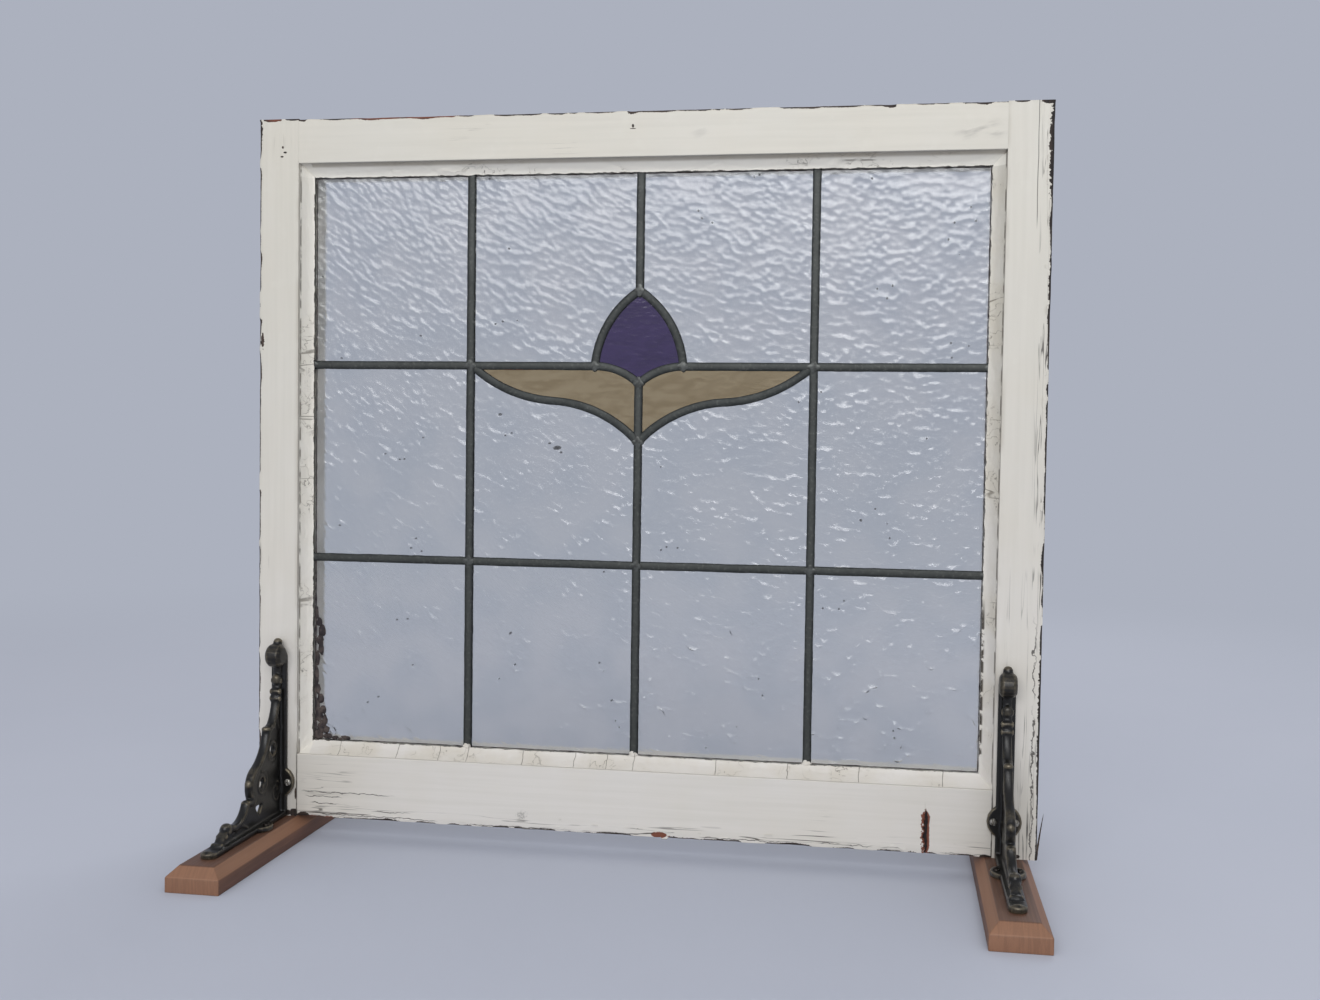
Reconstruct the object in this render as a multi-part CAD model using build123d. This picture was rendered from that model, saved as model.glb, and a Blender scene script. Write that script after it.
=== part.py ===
from build123d import *
import math
import os

# Leaded glass window panel in a painted timber sash, held upright by two
# wooden feet with cast-iron brackets. Millimetres. +Z up, front face -Y.
# Origin: on the floor, below the middle of the sash.
# The pieces are drawn with the sash's front face at y 0, then moved forward by
# half of the sash's depth.

# Sash
SASH_WIDTH = 600.0
SASH_HEIGHT = 545.0
SASH_DEPTH = 38.0
STILE_FACE = 32.5
TOP_RAIL_FACE = 34.0
BOTTOM_RAIL_FACE = 49.5
REBATE_WIDTH = 9.5
LIP_BEVEL = 6.0
ARRIS_RADIUS = 1.5

# Tenons of the rails, wedged in through mortises of the stiles
TENON_CHEEK = 1.45
TENON_SHOULDER = 6.0
TENON_PLAY = 0.2

# Splinter that stands off the right stile at its foot
SPLINTER_ROOT = 7.0
SPLINTER_HEIGHT = 34.0
SPLINTER_REACH = 4.0
SPLINTER_THICKNESS = 1.4

# Putty that holds the panel in the rebate
PUTTY_SETBACK = 3.0
PUTTY_TOE = 0.8

# Lead cames and glass
CAME_WIDTH = 6.2
CAME_DEPTH = 5.2
CAME_HEART = 1.2
CAME_GAP = 0.1
GLASS_THICKNESS = 3.0
GLASS_PLAY = 0.15
GLASS_EDGE_PLAY = 0.4
PANEL_PLAY = 0.3
PANEL_SETBACK = 11.9

# Pattern of the panel
COLUMNS = 4
ROWS = 3
TULIP_HEIGHT = 57.2
TULIP_HALF_WIDTH = 34.0
PETAL_BULGE = 7.8
TULIP_BASE_DROP = 13.1
LEAF_JOINT_DROP = 57.6
LEAF_MIDDLE_DROP = 26.7
LEAF_MIDDLE_ANGLE = 3.0

# Wooden feet
FOOT_WIDTH = 40.0
FOOT_THICKNESS = 18.0
FOOT_REACH = 142.0
FOOT_BEVEL = 7.3
LEFT_FOOT_INSET = 19.0
RIGHT_FOOT_INSET = 24.0

# Cast-iron brackets
PLATE_WIDTH = 12.4
PLATE_THICKNESS = 4.0
WALL_PLATE_HEIGHT = 131.0
FOOT_PLATE_LENGTH = 122.0
PLATE_SHOULDER = 3.6
LUG_DIAMETER = 25.0
LUG_SIDES = 16
WALL_LUG_HEIGHT = 27.5
FOOT_LUG_REACH = 42.0
FINIAL_RADIUS = 2.8
WEB_THICKNESS = 3.2
RIM_WIDTH = 6.6
RIM_DEPTH = 2.6
HEAD_RADIUS = 8.8
HEAD_REACH = 9.2
HEAD_DROP = 2.8
HEAD_CHAMFER = 2.2
HEAD_SIDES = 16
BEAD_RADIUS = 2.2
BEAD_SIDES = 8
BEAD_WIDTH = 8.6
BEAD_GAP = 1.0

# Side view of the brace: forward and up from the corner between its plates
NECK_REACH = 9.5
NECK_HEIGHT = 125.0
NECK_HOLLOW = 3.9
WAIST_REACH = 9.6
WAIST_HEIGHT = 100.0
WAIST_HOLLOW = 2.6
SHOULDER_REACH = 17.8
SHOULDER_HEIGHT = 75.5
BELLY_REACH = 26.0
BELLY_HEIGHT = 72.5
BELLY_HOLLOW = 4.2
CURL_REACH = 46.0
CURL_HEIGHT = 47.0
CURL_BULGE = 6.4
STEP_REACH = 50.8
STEP_HEIGHT = 24.0
INSTEP_REACH = 60.5
INSTEP_HEIGHT = 25.0
INSTEP_HOLLOW = 4.1
TOE_REACH = 81.0
TOE_HEIGHT = 12.6
TOE_BULGE = 3.9
TIP_REACH = 102.5
TIP_HEIGHT = 6.0
TIP_LENGTH = 3.5

# Openings through the web
EYE_RADIUS = 4.0
EYE_SIDES = 12
EYE_REACH = 36.0
EYE_HEIGHT = 34.0
ARCH_REACH = 18.0
ARCH_HEIGHT = 56.0
LEAF_OPENING_REACH = 34.0
LEAF_OPENING_WIDTH = 13.0
LEAF_OPENING_HEIGHT = 18.5
LEAF_OPENING_DEPTH = 8.5

# Heights and half sizes that follow from the values above
SASH_BOTTOM = FOOT_THICKNESS
SASH_TOP = SASH_BOTTOM + SASH_HEIGHT
REBATE_DEPTH = PANEL_SETBACK + CAME_DEPTH
REBATE_X = SASH_WIDTH / 2 - STILE_FACE
REBATE_TOP = SASH_TOP - TOP_RAIL_FACE
REBATE_BOTTOM = SASH_BOTTOM + BOTTOM_RAIL_FACE
SIGHT_X = REBATE_X - REBATE_WIDTH
SIGHT_TOP = REBATE_TOP - REBATE_WIDTH
SIGHT_BOTTOM = REBATE_BOTTOM + REBATE_WIDTH
TENON_FRONT = REBATE_DEPTH + TENON_CHEEK
TENON_BACK = SASH_DEPTH - LIP_BEVEL - TENON_CHEEK
CAME_EDGE_INSET = PANEL_PLAY + CAME_WIDTH / 2
BORDER_X = REBATE_X - CAME_EDGE_INSET
BORDER_TOP = REBATE_TOP - CAME_EDGE_INSET
BORDER_BOTTOM = REBATE_BOTTOM + CAME_EDGE_INSET
COLUMN_PITCH = 2 * BORDER_X / COLUMNS
ROW_PITCH = (BORDER_TOP - BORDER_BOTTOM) / ROWS
LOWER_BAR_Z = BORDER_BOTTOM + ROW_PITCH
UPPER_BAR_Z = LOWER_BAR_Z + ROW_PITCH
APEX_Z = UPPER_BAR_Z + TULIP_HEIGHT
VEE_Z = UPPER_BAR_Z - TULIP_BASE_DROP
LEAF_JOINT_Z = UPPER_BAR_Z - LEAF_JOINT_DROP
LEAF_MIDDLE_Z = UPPER_BAR_Z - LEAF_MIDDLE_DROP
PANE_INSET = CAME_HEART / 2 + GLASS_EDGE_PLAY
CAME_HALF = CAME_WIDTH / 2 + CAME_GAP
LEFT_FOOT_X = LEFT_FOOT_INSET - SASH_WIDTH / 2
RIGHT_FOOT_X = SASH_WIDTH / 2 - RIGHT_FOOT_INSET

# The leaded panel is drawn flat, x across and y up, and stood up in the sash
PANEL_PLANE = Plane(
    origin=(0, PANEL_SETBACK + CAME_DEPTH / 2, 0), x_dir=(1, 0, 0), z_dir=(0, -1, 0)
)


def block(x0, x1, y0, y1, z0, z1):
    """A box between two corners."""
    middle = Pos((x0 + x1) / 2, (y0 + y1) / 2, (z0 + z1) / 2)
    return middle * Box(x1 - x0, y1 - y0, z1 - z0)


def one_solid(shape):
    """The largest solid of a cut shape."""
    return max(shape.solids(), key=lambda solid: solid.volume)


# Sash


def lip_bevel_cutter():
    """Tapered opening that bevels the inner back edges of the four members."""
    front = SASH_DEPTH - LIP_BEVEL
    middle = (SIGHT_TOP + SIGHT_BOTTOM) / 2
    tall = SIGHT_TOP - SIGHT_BOTTOM
    wide = 2 * SIGHT_X
    near = Plane(origin=(0, front, middle), x_dir=(1, 0, 0), z_dir=(0, 1, 0))
    far = Plane(origin=(0, SASH_DEPTH, middle), x_dir=(1, 0, 0), z_dir=(0, 1, 0))
    sides = [
        near * Rectangle(wide, tall),
        far * Rectangle(wide + 2 * LIP_BEVEL, tall + 2 * LIP_BEVEL),
    ]
    return loft(sides)


def tenon_heights(low, high):
    """Lower and upper edge of a rail's tenon."""
    return low + TENON_SHOULDER, high - TENON_SHOULDER


def tenon_cutter(low, high, play):
    """Both tenons of a rail as one bar through the stiles, with play round it."""
    bottom, top = tenon_heights(low, high)
    half = SASH_WIDTH / 2
    front, back = TENON_FRONT - play, TENON_BACK + play
    return block(-half, half, front, back, bottom - play, top + play)


def outer_arrises(member, axis, position, where):
    """The front and back outer edges of a member."""
    edges = member.edges().filter_by(axis)
    outer = edges.filter_by_position(where, position - 0.01, position + 0.01)
    front = outer.filter_by_position(Axis.Y, -0.01, 0.01)
    back = outer.filter_by_position(Axis.Y, SASH_DEPTH - 0.01, SASH_DEPTH + 0.01)
    return front + back


def left_stile():
    """Full-height upright, rebated, mortised and softened on its outer edges."""
    outer = -SASH_WIDTH / 2
    face = block(outer, -REBATE_X, 0, REBATE_DEPTH, SASH_BOTTOM, SASH_TOP)
    lip = block(outer, -SIGHT_X, REBATE_DEPTH, SASH_DEPTH, SASH_BOTTOM, SASH_TOP)
    stile = face + lip
    stile = fillet(outer_arrises(stile, Axis.Z, outer, Axis.X), ARRIS_RADIUS)
    stile -= lip_bevel_cutter()
    stile -= tenon_cutter(SIGHT_TOP, SASH_TOP, TENON_PLAY)
    stile -= tenon_cutter(SASH_BOTTOM, SIGHT_BOTTOM, TENON_PLAY)
    return one_solid(stile)


def rail(sight, rebate, outer):
    """Crosswise member between the stiles, with its two through tenons."""
    low, high = min(sight, outer), max(sight, outer)
    front_low, front_high = min(rebate, outer), max(rebate, outer)
    face = block(-REBATE_X, REBATE_X, 0, REBATE_DEPTH, front_low, front_high)
    lip = block(-SIGHT_X, SIGHT_X, REBATE_DEPTH, SASH_DEPTH, low, high)
    return face + lip - lip_bevel_cutter() + tenon_cutter(low, high, 0)


def top_rail():
    """Upper rail with softened outer edges."""
    body = rail(SIGHT_TOP, REBATE_TOP, SASH_TOP)
    return one_solid(fillet(outer_arrises(body, Axis.X, SASH_TOP, Axis.Z), ARRIS_RADIUS))


def bottom_rail():
    """Lower, deeper rail."""
    return one_solid(rail(SIGHT_BOTTOM, REBATE_BOTTOM, SASH_BOTTOM))


def splinter():
    """Sliver of wood torn from the right stile, still held at its root."""
    side = SASH_WIDTH / 2
    near = ARRIS_RADIUS + SPLINTER_THICKNESS
    plane = Plane(origin=(side, near, SASH_BOTTOM), x_dir=(1, 0, 0), z_dir=(0, -1, 0))
    outline = Polyline((0, 0), (0, SPLINTER_ROOT), (SPLINTER_REACH, SPLINTER_HEIGHT), close=True)
    return extrude(plane * make_face(outline), SPLINTER_THICKNESS)


# Putty


def putty_plan(corners):
    """Mitred strip seen from the front, as deep as the putty."""
    plane = Plane(origin=(0, PANEL_SETBACK, 0), x_dir=(1, 0, 0), z_dir=(0, -1, 0))
    return extrude(plane * make_face(Polyline(corners, close=True)), PANEL_SETBACK)


def putty_section():
    """Sloping putty: against the rebate wall, against the glass, and its weathered slope."""
    return Polyline(
        [
            (0, PUTTY_SETBACK),
            (0, PANEL_SETBACK),
            (REBATE_WIDTH, PANEL_SETBACK),
            (REBATE_WIDTH, PANEL_SETBACK - PUTTY_TOE),
        ],
        close=True,
    )


def left_putty():
    """Putty down the left side, mitred at both ends."""
    plan = putty_plan(
        [
            (-REBATE_X, REBATE_BOTTOM),
            (-SIGHT_X, SIGHT_BOTTOM),
            (-SIGHT_X, SIGHT_TOP),
            (-REBATE_X, REBATE_TOP),
        ]
    )
    plane = Plane(origin=(-REBATE_X, 0, REBATE_BOTTOM), x_dir=(1, 0, 0), z_dir=(0, 0, 1))
    strip = extrude(plane * make_face(putty_section()), REBATE_TOP - REBATE_BOTTOM)
    return one_solid(strip & plan)


def level_putty(rebate, sight):
    """Putty along the top or the bottom, mitred at both ends."""
    plan = putty_plan(
        [(-REBATE_X, rebate), (REBATE_X, rebate), (SIGHT_X, sight), (-SIGHT_X, sight)]
    )
    inward = (0, 0, math.copysign(1, sight - rebate))
    along = (math.copysign(1, sight - rebate), 0, 0)
    start = -math.copysign(REBATE_X, sight - rebate)
    plane = Plane(
        origin=(start, 0, rebate), x_dir=inward, z_dir=tuple(-side for side in along)
    )
    strip = extrude(plane * make_face(putty_section()), -2 * REBATE_X)
    return one_solid(strip & plan)


# Lead


def came_section():
    """H-section came: two flanges joined by the heart, with a channel on each side."""
    half = CAME_WIDTH / 2
    heart = CAME_HEART / 2
    groove = GLASS_THICKNESS / 2 + GLASS_PLAY
    quarter = [(half, CAME_DEPTH / 2), (half, groove), (heart, groove)]
    right = quarter + [(x, -y) for x, y in reversed(quarter)]
    left = [(-x, -y) for x, y in right]
    return make_face(Polyline(right + left, close=True))


def swept(section, path):
    """A section carried along each piece of a path and joined up."""
    pieces = []
    for edge in path:
        tangent = edge % 0
        across = tangent.cross(Vector(0, 0, 1))
        plane = Plane(origin=edge @ 0, x_dir=across, z_dir=tangent)
        pieces.append(sweep(plane * section, path=edge))
    body = pieces[0]
    for piece in pieces[1:]:
        body += piece
    return body


def came(path):
    """Came along a path in the flat panel."""
    return swept(came_section(), path)


def room_for(path):
    """The space that a came takes up, with the gap left round it."""
    return swept(Rectangle(2 * CAME_HALF, 2 * CAME_DEPTH), path)


def stand_up(shape):
    """Turn a piece of the flat panel upright into its place in the sash."""
    return PANEL_PLANE * one_solid(shape)


def mirrored(shape):
    """The same piece on the other side of the middle."""
    return mirror(shape, Plane.YZ)


def upright_path(x):
    """Centreline of a came over the full height of the panel."""
    return [Line((x, BORDER_BOTTOM), (x, BORDER_TOP))]


def top_centre_path():
    """From the top border down to the point of the tulip."""
    return [Line((0, BORDER_TOP), (0, APEX_Z))]


def stem_path():
    """From below the tulip down to the bottom border."""
    return [Line((0, VEE_Z), (0, BORDER_BOTTOM))]


def tulip_base_path():
    """Level from the left upright, then curving down under the tulip."""
    foot = (-TULIP_HALF_WIDTH, UPPER_BAR_Z)
    level = Line((-COLUMN_PITCH, UPPER_BAR_Z), foot)
    curve = TangentArc(foot, (0, VEE_Z), tangent=(1, 0))
    return [level, curve]


def petal_path():
    """Left petal from its foot to the tulip's point."""
    foot = (-TULIP_HALF_WIDTH, UPPER_BAR_Z)
    return [SagittaArc(foot, (0, APEX_Z), PETAL_BULGE)]


def leaf_path():
    """Left leaf's lower edge, an S from the crossing to the stem."""
    slope = math.radians(LEAF_MIDDLE_ANGLE)
    middle = (-COLUMN_PITCH / 2, LEAF_MIDDLE_Z)
    outward = (-math.cos(slope), math.sin(slope))
    inward = (math.cos(slope), -math.sin(slope))
    tip = TangentArc(middle, (-COLUMN_PITCH, UPPER_BAR_Z), tangent=outward)
    root = TangentArc(middle, (0, LEAF_JOINT_Z), tangent=inward)
    return [tip, root]


def left_half(shape):
    """The part left of the middle line, for pieces that meet there."""
    size = SASH_WIDTH
    return shape & block(-size, -CAME_GAP / 2, -size, size, -size, size)


def half_height_block():
    """Room between the two border cames that cross the panel."""
    inset = CAME_WIDTH / 2 + CAME_GAP
    low, high = BORDER_BOTTOM + inset, BORDER_TOP - inset
    return block(-SASH_WIDTH, SASH_WIDTH, low, high, -SASH_DEPTH, SASH_DEPTH)


def side_border():
    """Came down the left edge of the panel."""
    reach = CAME_WIDTH / 2
    ends = (-BORDER_X, BORDER_BOTTOM - reach), (-BORDER_X, BORDER_TOP + reach)
    return came([Line(*ends)])


def level_border(height):
    """Came along the top or bottom edge of the panel, between the side ones."""
    reach = BORDER_X - CAME_HALF
    return came([Line((-reach, height), (reach, height))])


def side_upright():
    """Came that parts the first column from the second."""
    return came(upright_path(-COLUMN_PITCH)) & half_height_block()


def top_centre():
    """Short came from the top border to the tulip."""
    return came(top_centre_path()) & half_height_block()


def stem():
    """Came from the tulip to the bottom border, the tulip's stem."""
    seat = room_for(tulip_base_path())
    return (came(stem_path()) - seat - mirrored(seat)) & half_height_block()


def tulip_base():
    """Level came that bends down under the tulip."""
    return left_half(came(tulip_base_path())) - room_for(upright_path(-COLUMN_PITCH))


def petal():
    """Came round the left side of the tulip."""
    petal_came = left_half(came(petal_path()))
    return petal_came - room_for(top_centre_path()) - room_for(tulip_base_path())


def leaf():
    """Came under the left leaf."""
    cleared = came(leaf_path()) - room_for(stem_path())
    cleared -= room_for(tulip_base_path())
    return cleared - room_for(upright_path(-COLUMN_PITCH))


def level_came(x0, x1, height):
    """Straight level came between two upright centrelines."""
    return came([Line((x0 + CAME_HALF, height), (x1 - CAME_HALF, height))])


def outer_level_cames():
    """The upper level cames of the two outer columns."""
    left = level_came(-BORDER_X, -COLUMN_PITCH, UPPER_BAR_Z)
    return [left, mirrored(left)]


def lower_level_cames():
    """The four lower level cames, one in each column."""
    lines = [-BORDER_X, -COLUMN_PITCH, 0, COLUMN_PITCH, BORDER_X]
    return [level_came(a, b, LOWER_BAR_Z) for a, b in zip(lines, lines[1:])]


# Glass


def pane(outline):
    """Pane cut to lie inside the cames along its outline."""
    shape = offset(make_face(outline), -PANE_INSET, kind=Kind.INTERSECTION)
    return extrude(shape, GLASS_THICKNESS / 2, both=True)


def square_pane(column, row):
    """Plain pane, counted from the left and from the bottom."""
    x0 = -BORDER_X + column * COLUMN_PITCH
    y0 = BORDER_BOTTOM + row * ROW_PITCH
    corners = [
        (x0, y0), (x0 + COLUMN_PITCH, y0), (x0 + COLUMN_PITCH, y0 + ROW_PITCH),
        (x0, y0 + ROW_PITCH),
    ]
    return pane([Polyline(corners, close=True)])


def pane_over_petal():
    """Upper pane beside the tulip."""
    corners = Polyline(
        (0, APEX_Z), (0, BORDER_TOP), (-COLUMN_PITCH, BORDER_TOP),
        (-COLUMN_PITCH, UPPER_BAR_Z), (-TULIP_HALF_WIDTH, UPPER_BAR_Z),
    )
    return pane([corners] + petal_path())


def pane_under_leaf():
    """Middle pane below the leaf."""
    corners = Polyline(
        (-COLUMN_PITCH, UPPER_BAR_Z), (-COLUMN_PITCH, LOWER_BAR_Z), (0, LOWER_BAR_Z),
        (0, LEAF_JOINT_Z),
    )
    return pane([corners] + leaf_path())


def leaf_glass():
    """Amber glass between the level came, the stem and the leaf's lower edge."""
    stem_side = Line((0, VEE_Z), (0, LEAF_JOINT_Z))
    return pane(tulip_base_path() + [stem_side] + leaf_path())


def tulip_glass():
    """Violet glass of the flower."""
    base = tulip_base_path()[1]
    sides = petal_path() + [base]
    other = [mirrored(edge) for edge in sides]
    return pane(sides + other)


# Stand


def foot(x):
    """Wooden foot, bevelled all round its upper face."""
    back = SASH_DEPTH + FOOT_REACH
    half = FOOT_WIDTH / 2
    body = block(x - half, x + half, -FOOT_REACH, back, 0, FOOT_THICKNESS)
    return one_solid(chamfer(body.faces().sort_by(Axis.Z)[-1].edges(), FOOT_BEVEL))


def brace_outline():
    """Side view of the web, x forward from the sash and y up from the foot."""
    neck = (NECK_REACH, NECK_HEIGHT)
    waist = (WAIST_REACH, WAIST_HEIGHT)
    shoulder = (SHOULDER_REACH, SHOULDER_HEIGHT)
    belly = (BELLY_REACH, BELLY_HEIGHT)
    curl = (CURL_REACH, CURL_HEIGHT)
    step = (STEP_REACH, STEP_HEIGHT)
    instep = (INSTEP_REACH, INSTEP_HEIGHT)
    toe = (TOE_REACH, TOE_HEIGHT)
    tip = (TIP_REACH, TIP_HEIGHT)
    return make_face(
        [
            Polyline((TIP_REACH + TIP_LENGTH, 0), (0, 0), (0, NECK_HEIGHT), neck),
            SagittaArc(neck, waist, -NECK_HOLLOW),
            SagittaArc(waist, shoulder, -WAIST_HOLLOW),
            Line(shoulder, belly),
            SagittaArc(belly, curl, -BELLY_HOLLOW),
            SagittaArc(curl, step, CURL_BULGE),
            Line(step, instep),
            SagittaArc(instep, toe, -INSTEP_HOLLOW),
            SagittaArc(toe, tip, TOE_BULGE),
            Line(tip, (TIP_REACH + TIP_LENGTH, 0)),
        ]
    )


def lug(along):
    """Ear of a plate, as wide as its two screws need."""
    return Pos(along, 0) * RegularPolygon(LUG_DIAMETER / 2, LUG_SIDES)


def foot_plate():
    """Plate on the foot, round at its end, with its screw lug."""
    straight = FOOT_PLATE_LENGTH - PLATE_WIDTH / 2
    bar = Pos(straight / 2, 0) * Rectangle(straight, PLATE_WIDTH)
    nose = Pos(straight, 0) * Circle(PLATE_WIDTH / 2)
    return extrude(bar + nose + lug(FOOT_LUG_REACH), PLATE_THICKNESS)


def wall_plate():
    """Plate on the sash, with rounded shoulders and a small finial."""
    bar = Pos(WALL_PLATE_HEIGHT / 2, 0) * Rectangle(WALL_PLATE_HEIGHT, PLATE_WIDTH)
    bar = fillet(bar.vertices().group_by(Axis.X)[-1], PLATE_SHOULDER)
    finial = Pos(WALL_PLATE_HEIGHT, 0) * RegularPolygon(FINIAL_RADIUS, BEAD_SIDES)
    return extrude(bar + finial + lug(WALL_LUG_HEIGHT), PLATE_THICKNESS)


def cross_bar(forward, up, radius, width, sides):
    """Faceted bar across the brace."""
    face = Pos(forward, up) * RegularPolygon(radius, sides)
    return extrude(face, width / 2, both=True)


def head():
    """Faceted head below the finial, softened on both sides."""
    up = WALL_PLATE_HEIGHT - HEAD_DROP
    disc = cross_bar(HEAD_REACH, up, HEAD_RADIUS, PLATE_WIDTH, HEAD_SIDES)
    return chamfer(disc.edges().filter_by(Axis.Z, reverse=True), HEAD_CHAMFER)


def beads():
    """Faceted beads across the rim, below the head and above the toe."""
    knob = BEAD_RADIUS + NECK_HOLLOW / 2
    ring = WAIST_HEIGHT - 2 * BEAD_RADIUS - BEAD_GAP
    spots = [
        (NECK_REACH - BEAD_RADIUS, WAIST_HEIGHT + 2 * knob),
        (WAIST_REACH, WAIST_HEIGHT),
        (WAIST_REACH, ring),
        ((TOE_REACH + TIP_REACH) / 2, TOE_HEIGHT),
        (TIP_REACH + BEAD_RADIUS, TIP_HEIGHT - BEAD_RADIUS / 2),
    ]
    return [cross_bar(x, y, BEAD_RADIUS, BEAD_WIDTH, BEAD_SIDES) for x, y in spots]


def openings():
    """Eye, arch and leaf-shaped opening through the web."""
    left = (LEAF_OPENING_REACH, LEAF_OPENING_HEIGHT)
    right = (LEAF_OPENING_REACH + LEAF_OPENING_WIDTH, LEAF_OPENING_HEIGHT)
    middle = LEAF_OPENING_REACH + LEAF_OPENING_WIDTH / 2
    low = (middle, LEAF_OPENING_HEIGHT - LEAF_OPENING_DEPTH)
    leaf_face = make_face(Polyline(left, right, low, close=True))
    return [
        cross_bar(EYE_REACH, EYE_HEIGHT, EYE_RADIUS, 2 * RIM_WIDTH, EYE_SIDES),
        cross_bar(ARCH_REACH, ARCH_HEIGHT, EYE_RADIUS, 2 * RIM_WIDTH, EYE_SIDES),
        extrude(leaf_face, RIM_WIDTH, both=True),
    ]


def bracket():
    """Cast-iron bracket, side view in XY: x forward, y up, z across."""
    outline = brace_outline()
    rim_face = outline - offset(outline, -RIM_DEPTH)
    wall = Plane(origin=(0, 0, 0), x_dir=(0, 1, 0), z_dir=(1, 0, 0))
    ground = Plane(origin=(0, 0, 0), x_dir=(1, 0, 0), z_dir=(0, 1, 0))
    body = extrude(outline, WEB_THICKNESS / 2, both=True)
    body += extrude(rim_face, RIM_WIDTH / 2, both=True)
    body += head()
    for bead in beads():
        body += bead
    for opening in openings():
        body -= opening
    body -= block(-SASH_WIDTH, 0, -SASH_HEIGHT, SASH_HEIGHT, -SASH_WIDTH, SASH_WIDTH)
    body += wall * wall_plate()
    body += ground * foot_plate()
    return one_solid(body)


def placed_bracket(x, rear):
    """Bracket stood on a foot, against the front or the rear of the sash."""
    forward = (0, 1, 0) if rear else (0, -1, 0)
    start = SASH_DEPTH if rear else 0
    across = (1, 0, 0) if rear else (-1, 0, 0)
    plane = Plane(origin=(x, start, FOOT_THICKNESS), x_dir=forward, z_dir=across)
    return plane * bracket()


# All pieces


def pieces():
    """Every piece by name."""
    parts = {
        "left_stile": left_stile(),
        "right_stile": mirrored(left_stile()),
        "top_rail": top_rail(),
        "bottom_rail": bottom_rail(),
        "splinter": splinter(),
        "left_putty": left_putty(),
        "right_putty": mirrored(left_putty()),
        "top_putty": level_putty(REBATE_TOP, SIGHT_TOP),
        "bottom_putty": level_putty(REBATE_BOTTOM, SIGHT_BOTTOM),
        "left_foot": foot(LEFT_FOOT_X),
        "right_foot": foot(RIGHT_FOOT_X),
        "left_front_bracket": placed_bracket(LEFT_FOOT_X, False),
        "right_front_bracket": placed_bracket(RIGHT_FOOT_X, False),
        "left_rear_bracket": placed_bracket(LEFT_FOOT_X, True),
        "right_rear_bracket": placed_bracket(RIGHT_FOOT_X, True),
    }
    paired = {
        "border_came": side_border(),
        "upright_came": side_upright(),
        "tulip_base_came": tulip_base(),
        "petal_came": petal(),
        "leaf_came": leaf(),
        "upper_outer_pane": square_pane(0, 2),
        "middle_outer_pane": square_pane(0, 1),
        "lower_outer_pane": square_pane(0, 0),
        "lower_inner_pane": square_pane(1, 0),
        "upper_inner_pane": pane_over_petal(),
        "middle_inner_pane": pane_under_leaf(),
        "leaf_glass": leaf_glass(),
    }
    for name, shape in paired.items():
        parts["left_" + name] = stand_up(shape)
        parts["right_" + name] = mirrored(stand_up(shape))
    single = {
        "top_border_came": level_border(BORDER_TOP),
        "bottom_border_came": level_border(BORDER_BOTTOM),
        "top_centre_came": top_centre(),
        "stem_came": stem(),
        "tulip_glass": tulip_glass(),
    }
    for name, shape in single.items():
        parts[name] = stand_up(shape)
    parts["upper_outer_cames"] = Compound([stand_up(one) for one in outer_level_cames()])
    parts["lower_level_cames"] = Compound([stand_up(one) for one in lower_level_cames()])
    return parts


def main():
    """Write each piece to its own file."""
    os.makedirs("parts", exist_ok=True)
    for name, shape in pieces().items():
        export_step(Pos(0, -SASH_DEPTH / 2, 0) * shape, f"parts/{name}.step")


main()
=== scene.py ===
import math
import random
from functools import partial, reduce

import bmesh
import bpy
from bpy.props import FloatProperty, FloatVectorProperty, PointerProperty
from bpy.types import Operator, Panel, PropertyGroup
from mathutils import Matrix, Vector, noise


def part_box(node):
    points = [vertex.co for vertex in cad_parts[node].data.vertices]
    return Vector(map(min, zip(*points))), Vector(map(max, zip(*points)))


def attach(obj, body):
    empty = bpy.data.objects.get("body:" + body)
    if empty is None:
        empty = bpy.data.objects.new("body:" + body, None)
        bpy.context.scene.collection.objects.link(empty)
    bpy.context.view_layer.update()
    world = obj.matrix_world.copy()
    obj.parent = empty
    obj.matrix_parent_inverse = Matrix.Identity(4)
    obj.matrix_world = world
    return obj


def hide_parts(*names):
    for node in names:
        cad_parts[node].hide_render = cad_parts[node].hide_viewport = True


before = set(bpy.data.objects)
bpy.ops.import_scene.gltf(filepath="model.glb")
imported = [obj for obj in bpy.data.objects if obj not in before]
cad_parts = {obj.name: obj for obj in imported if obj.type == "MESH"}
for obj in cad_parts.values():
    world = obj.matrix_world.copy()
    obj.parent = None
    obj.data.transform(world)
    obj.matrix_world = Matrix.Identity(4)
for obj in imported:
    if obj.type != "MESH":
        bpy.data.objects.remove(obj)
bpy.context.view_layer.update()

bl_info = {
    "name": "Leaded window panel",
    "version": (1, 0, 0),
    "blender": (4, 5, 0),
    "location": "3D View > Sidebar > Window",
    "description": "Dresses a leaded window panel, its painted sash and its stand",
    "category": "Object",
}

# Places read from the solids, in metres
SASH_LOW, SASH_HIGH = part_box("left_stile")[0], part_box("right_stile")[1]
SASH_FRONT, SASH_BACK = SASH_LOW.y, SASH_HIGH.y
REBATE_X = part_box("right_putty")[1].x
SIGHT_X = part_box("right_putty")[0].x
REBATE_LOW, SIGHT_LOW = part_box("bottom_putty")[0].z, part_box("bottom_putty")[1].z
SIGHT_HIGH, REBATE_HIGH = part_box("top_putty")[0].z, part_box("top_putty")[1].z
PUTTY_FRONT, PUTTY_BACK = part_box("left_putty")[0].y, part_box("left_putty")[1].y
LEAD_FRONT, LEAD_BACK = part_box("left_border_came")[0].y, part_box("left_border_came")[1].y
LEAD_MIDDLE = (LEAD_FRONT + LEAD_BACK) / 2
GLASS_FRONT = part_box("left_upper_outer_pane")[0].y
UPRIGHT_X = (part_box("right_upright_came")[0].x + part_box("right_upright_came")[1].x) / 2
BORDER_X = (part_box("right_border_came")[0].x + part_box("right_border_came")[1].x) / 2
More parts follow.
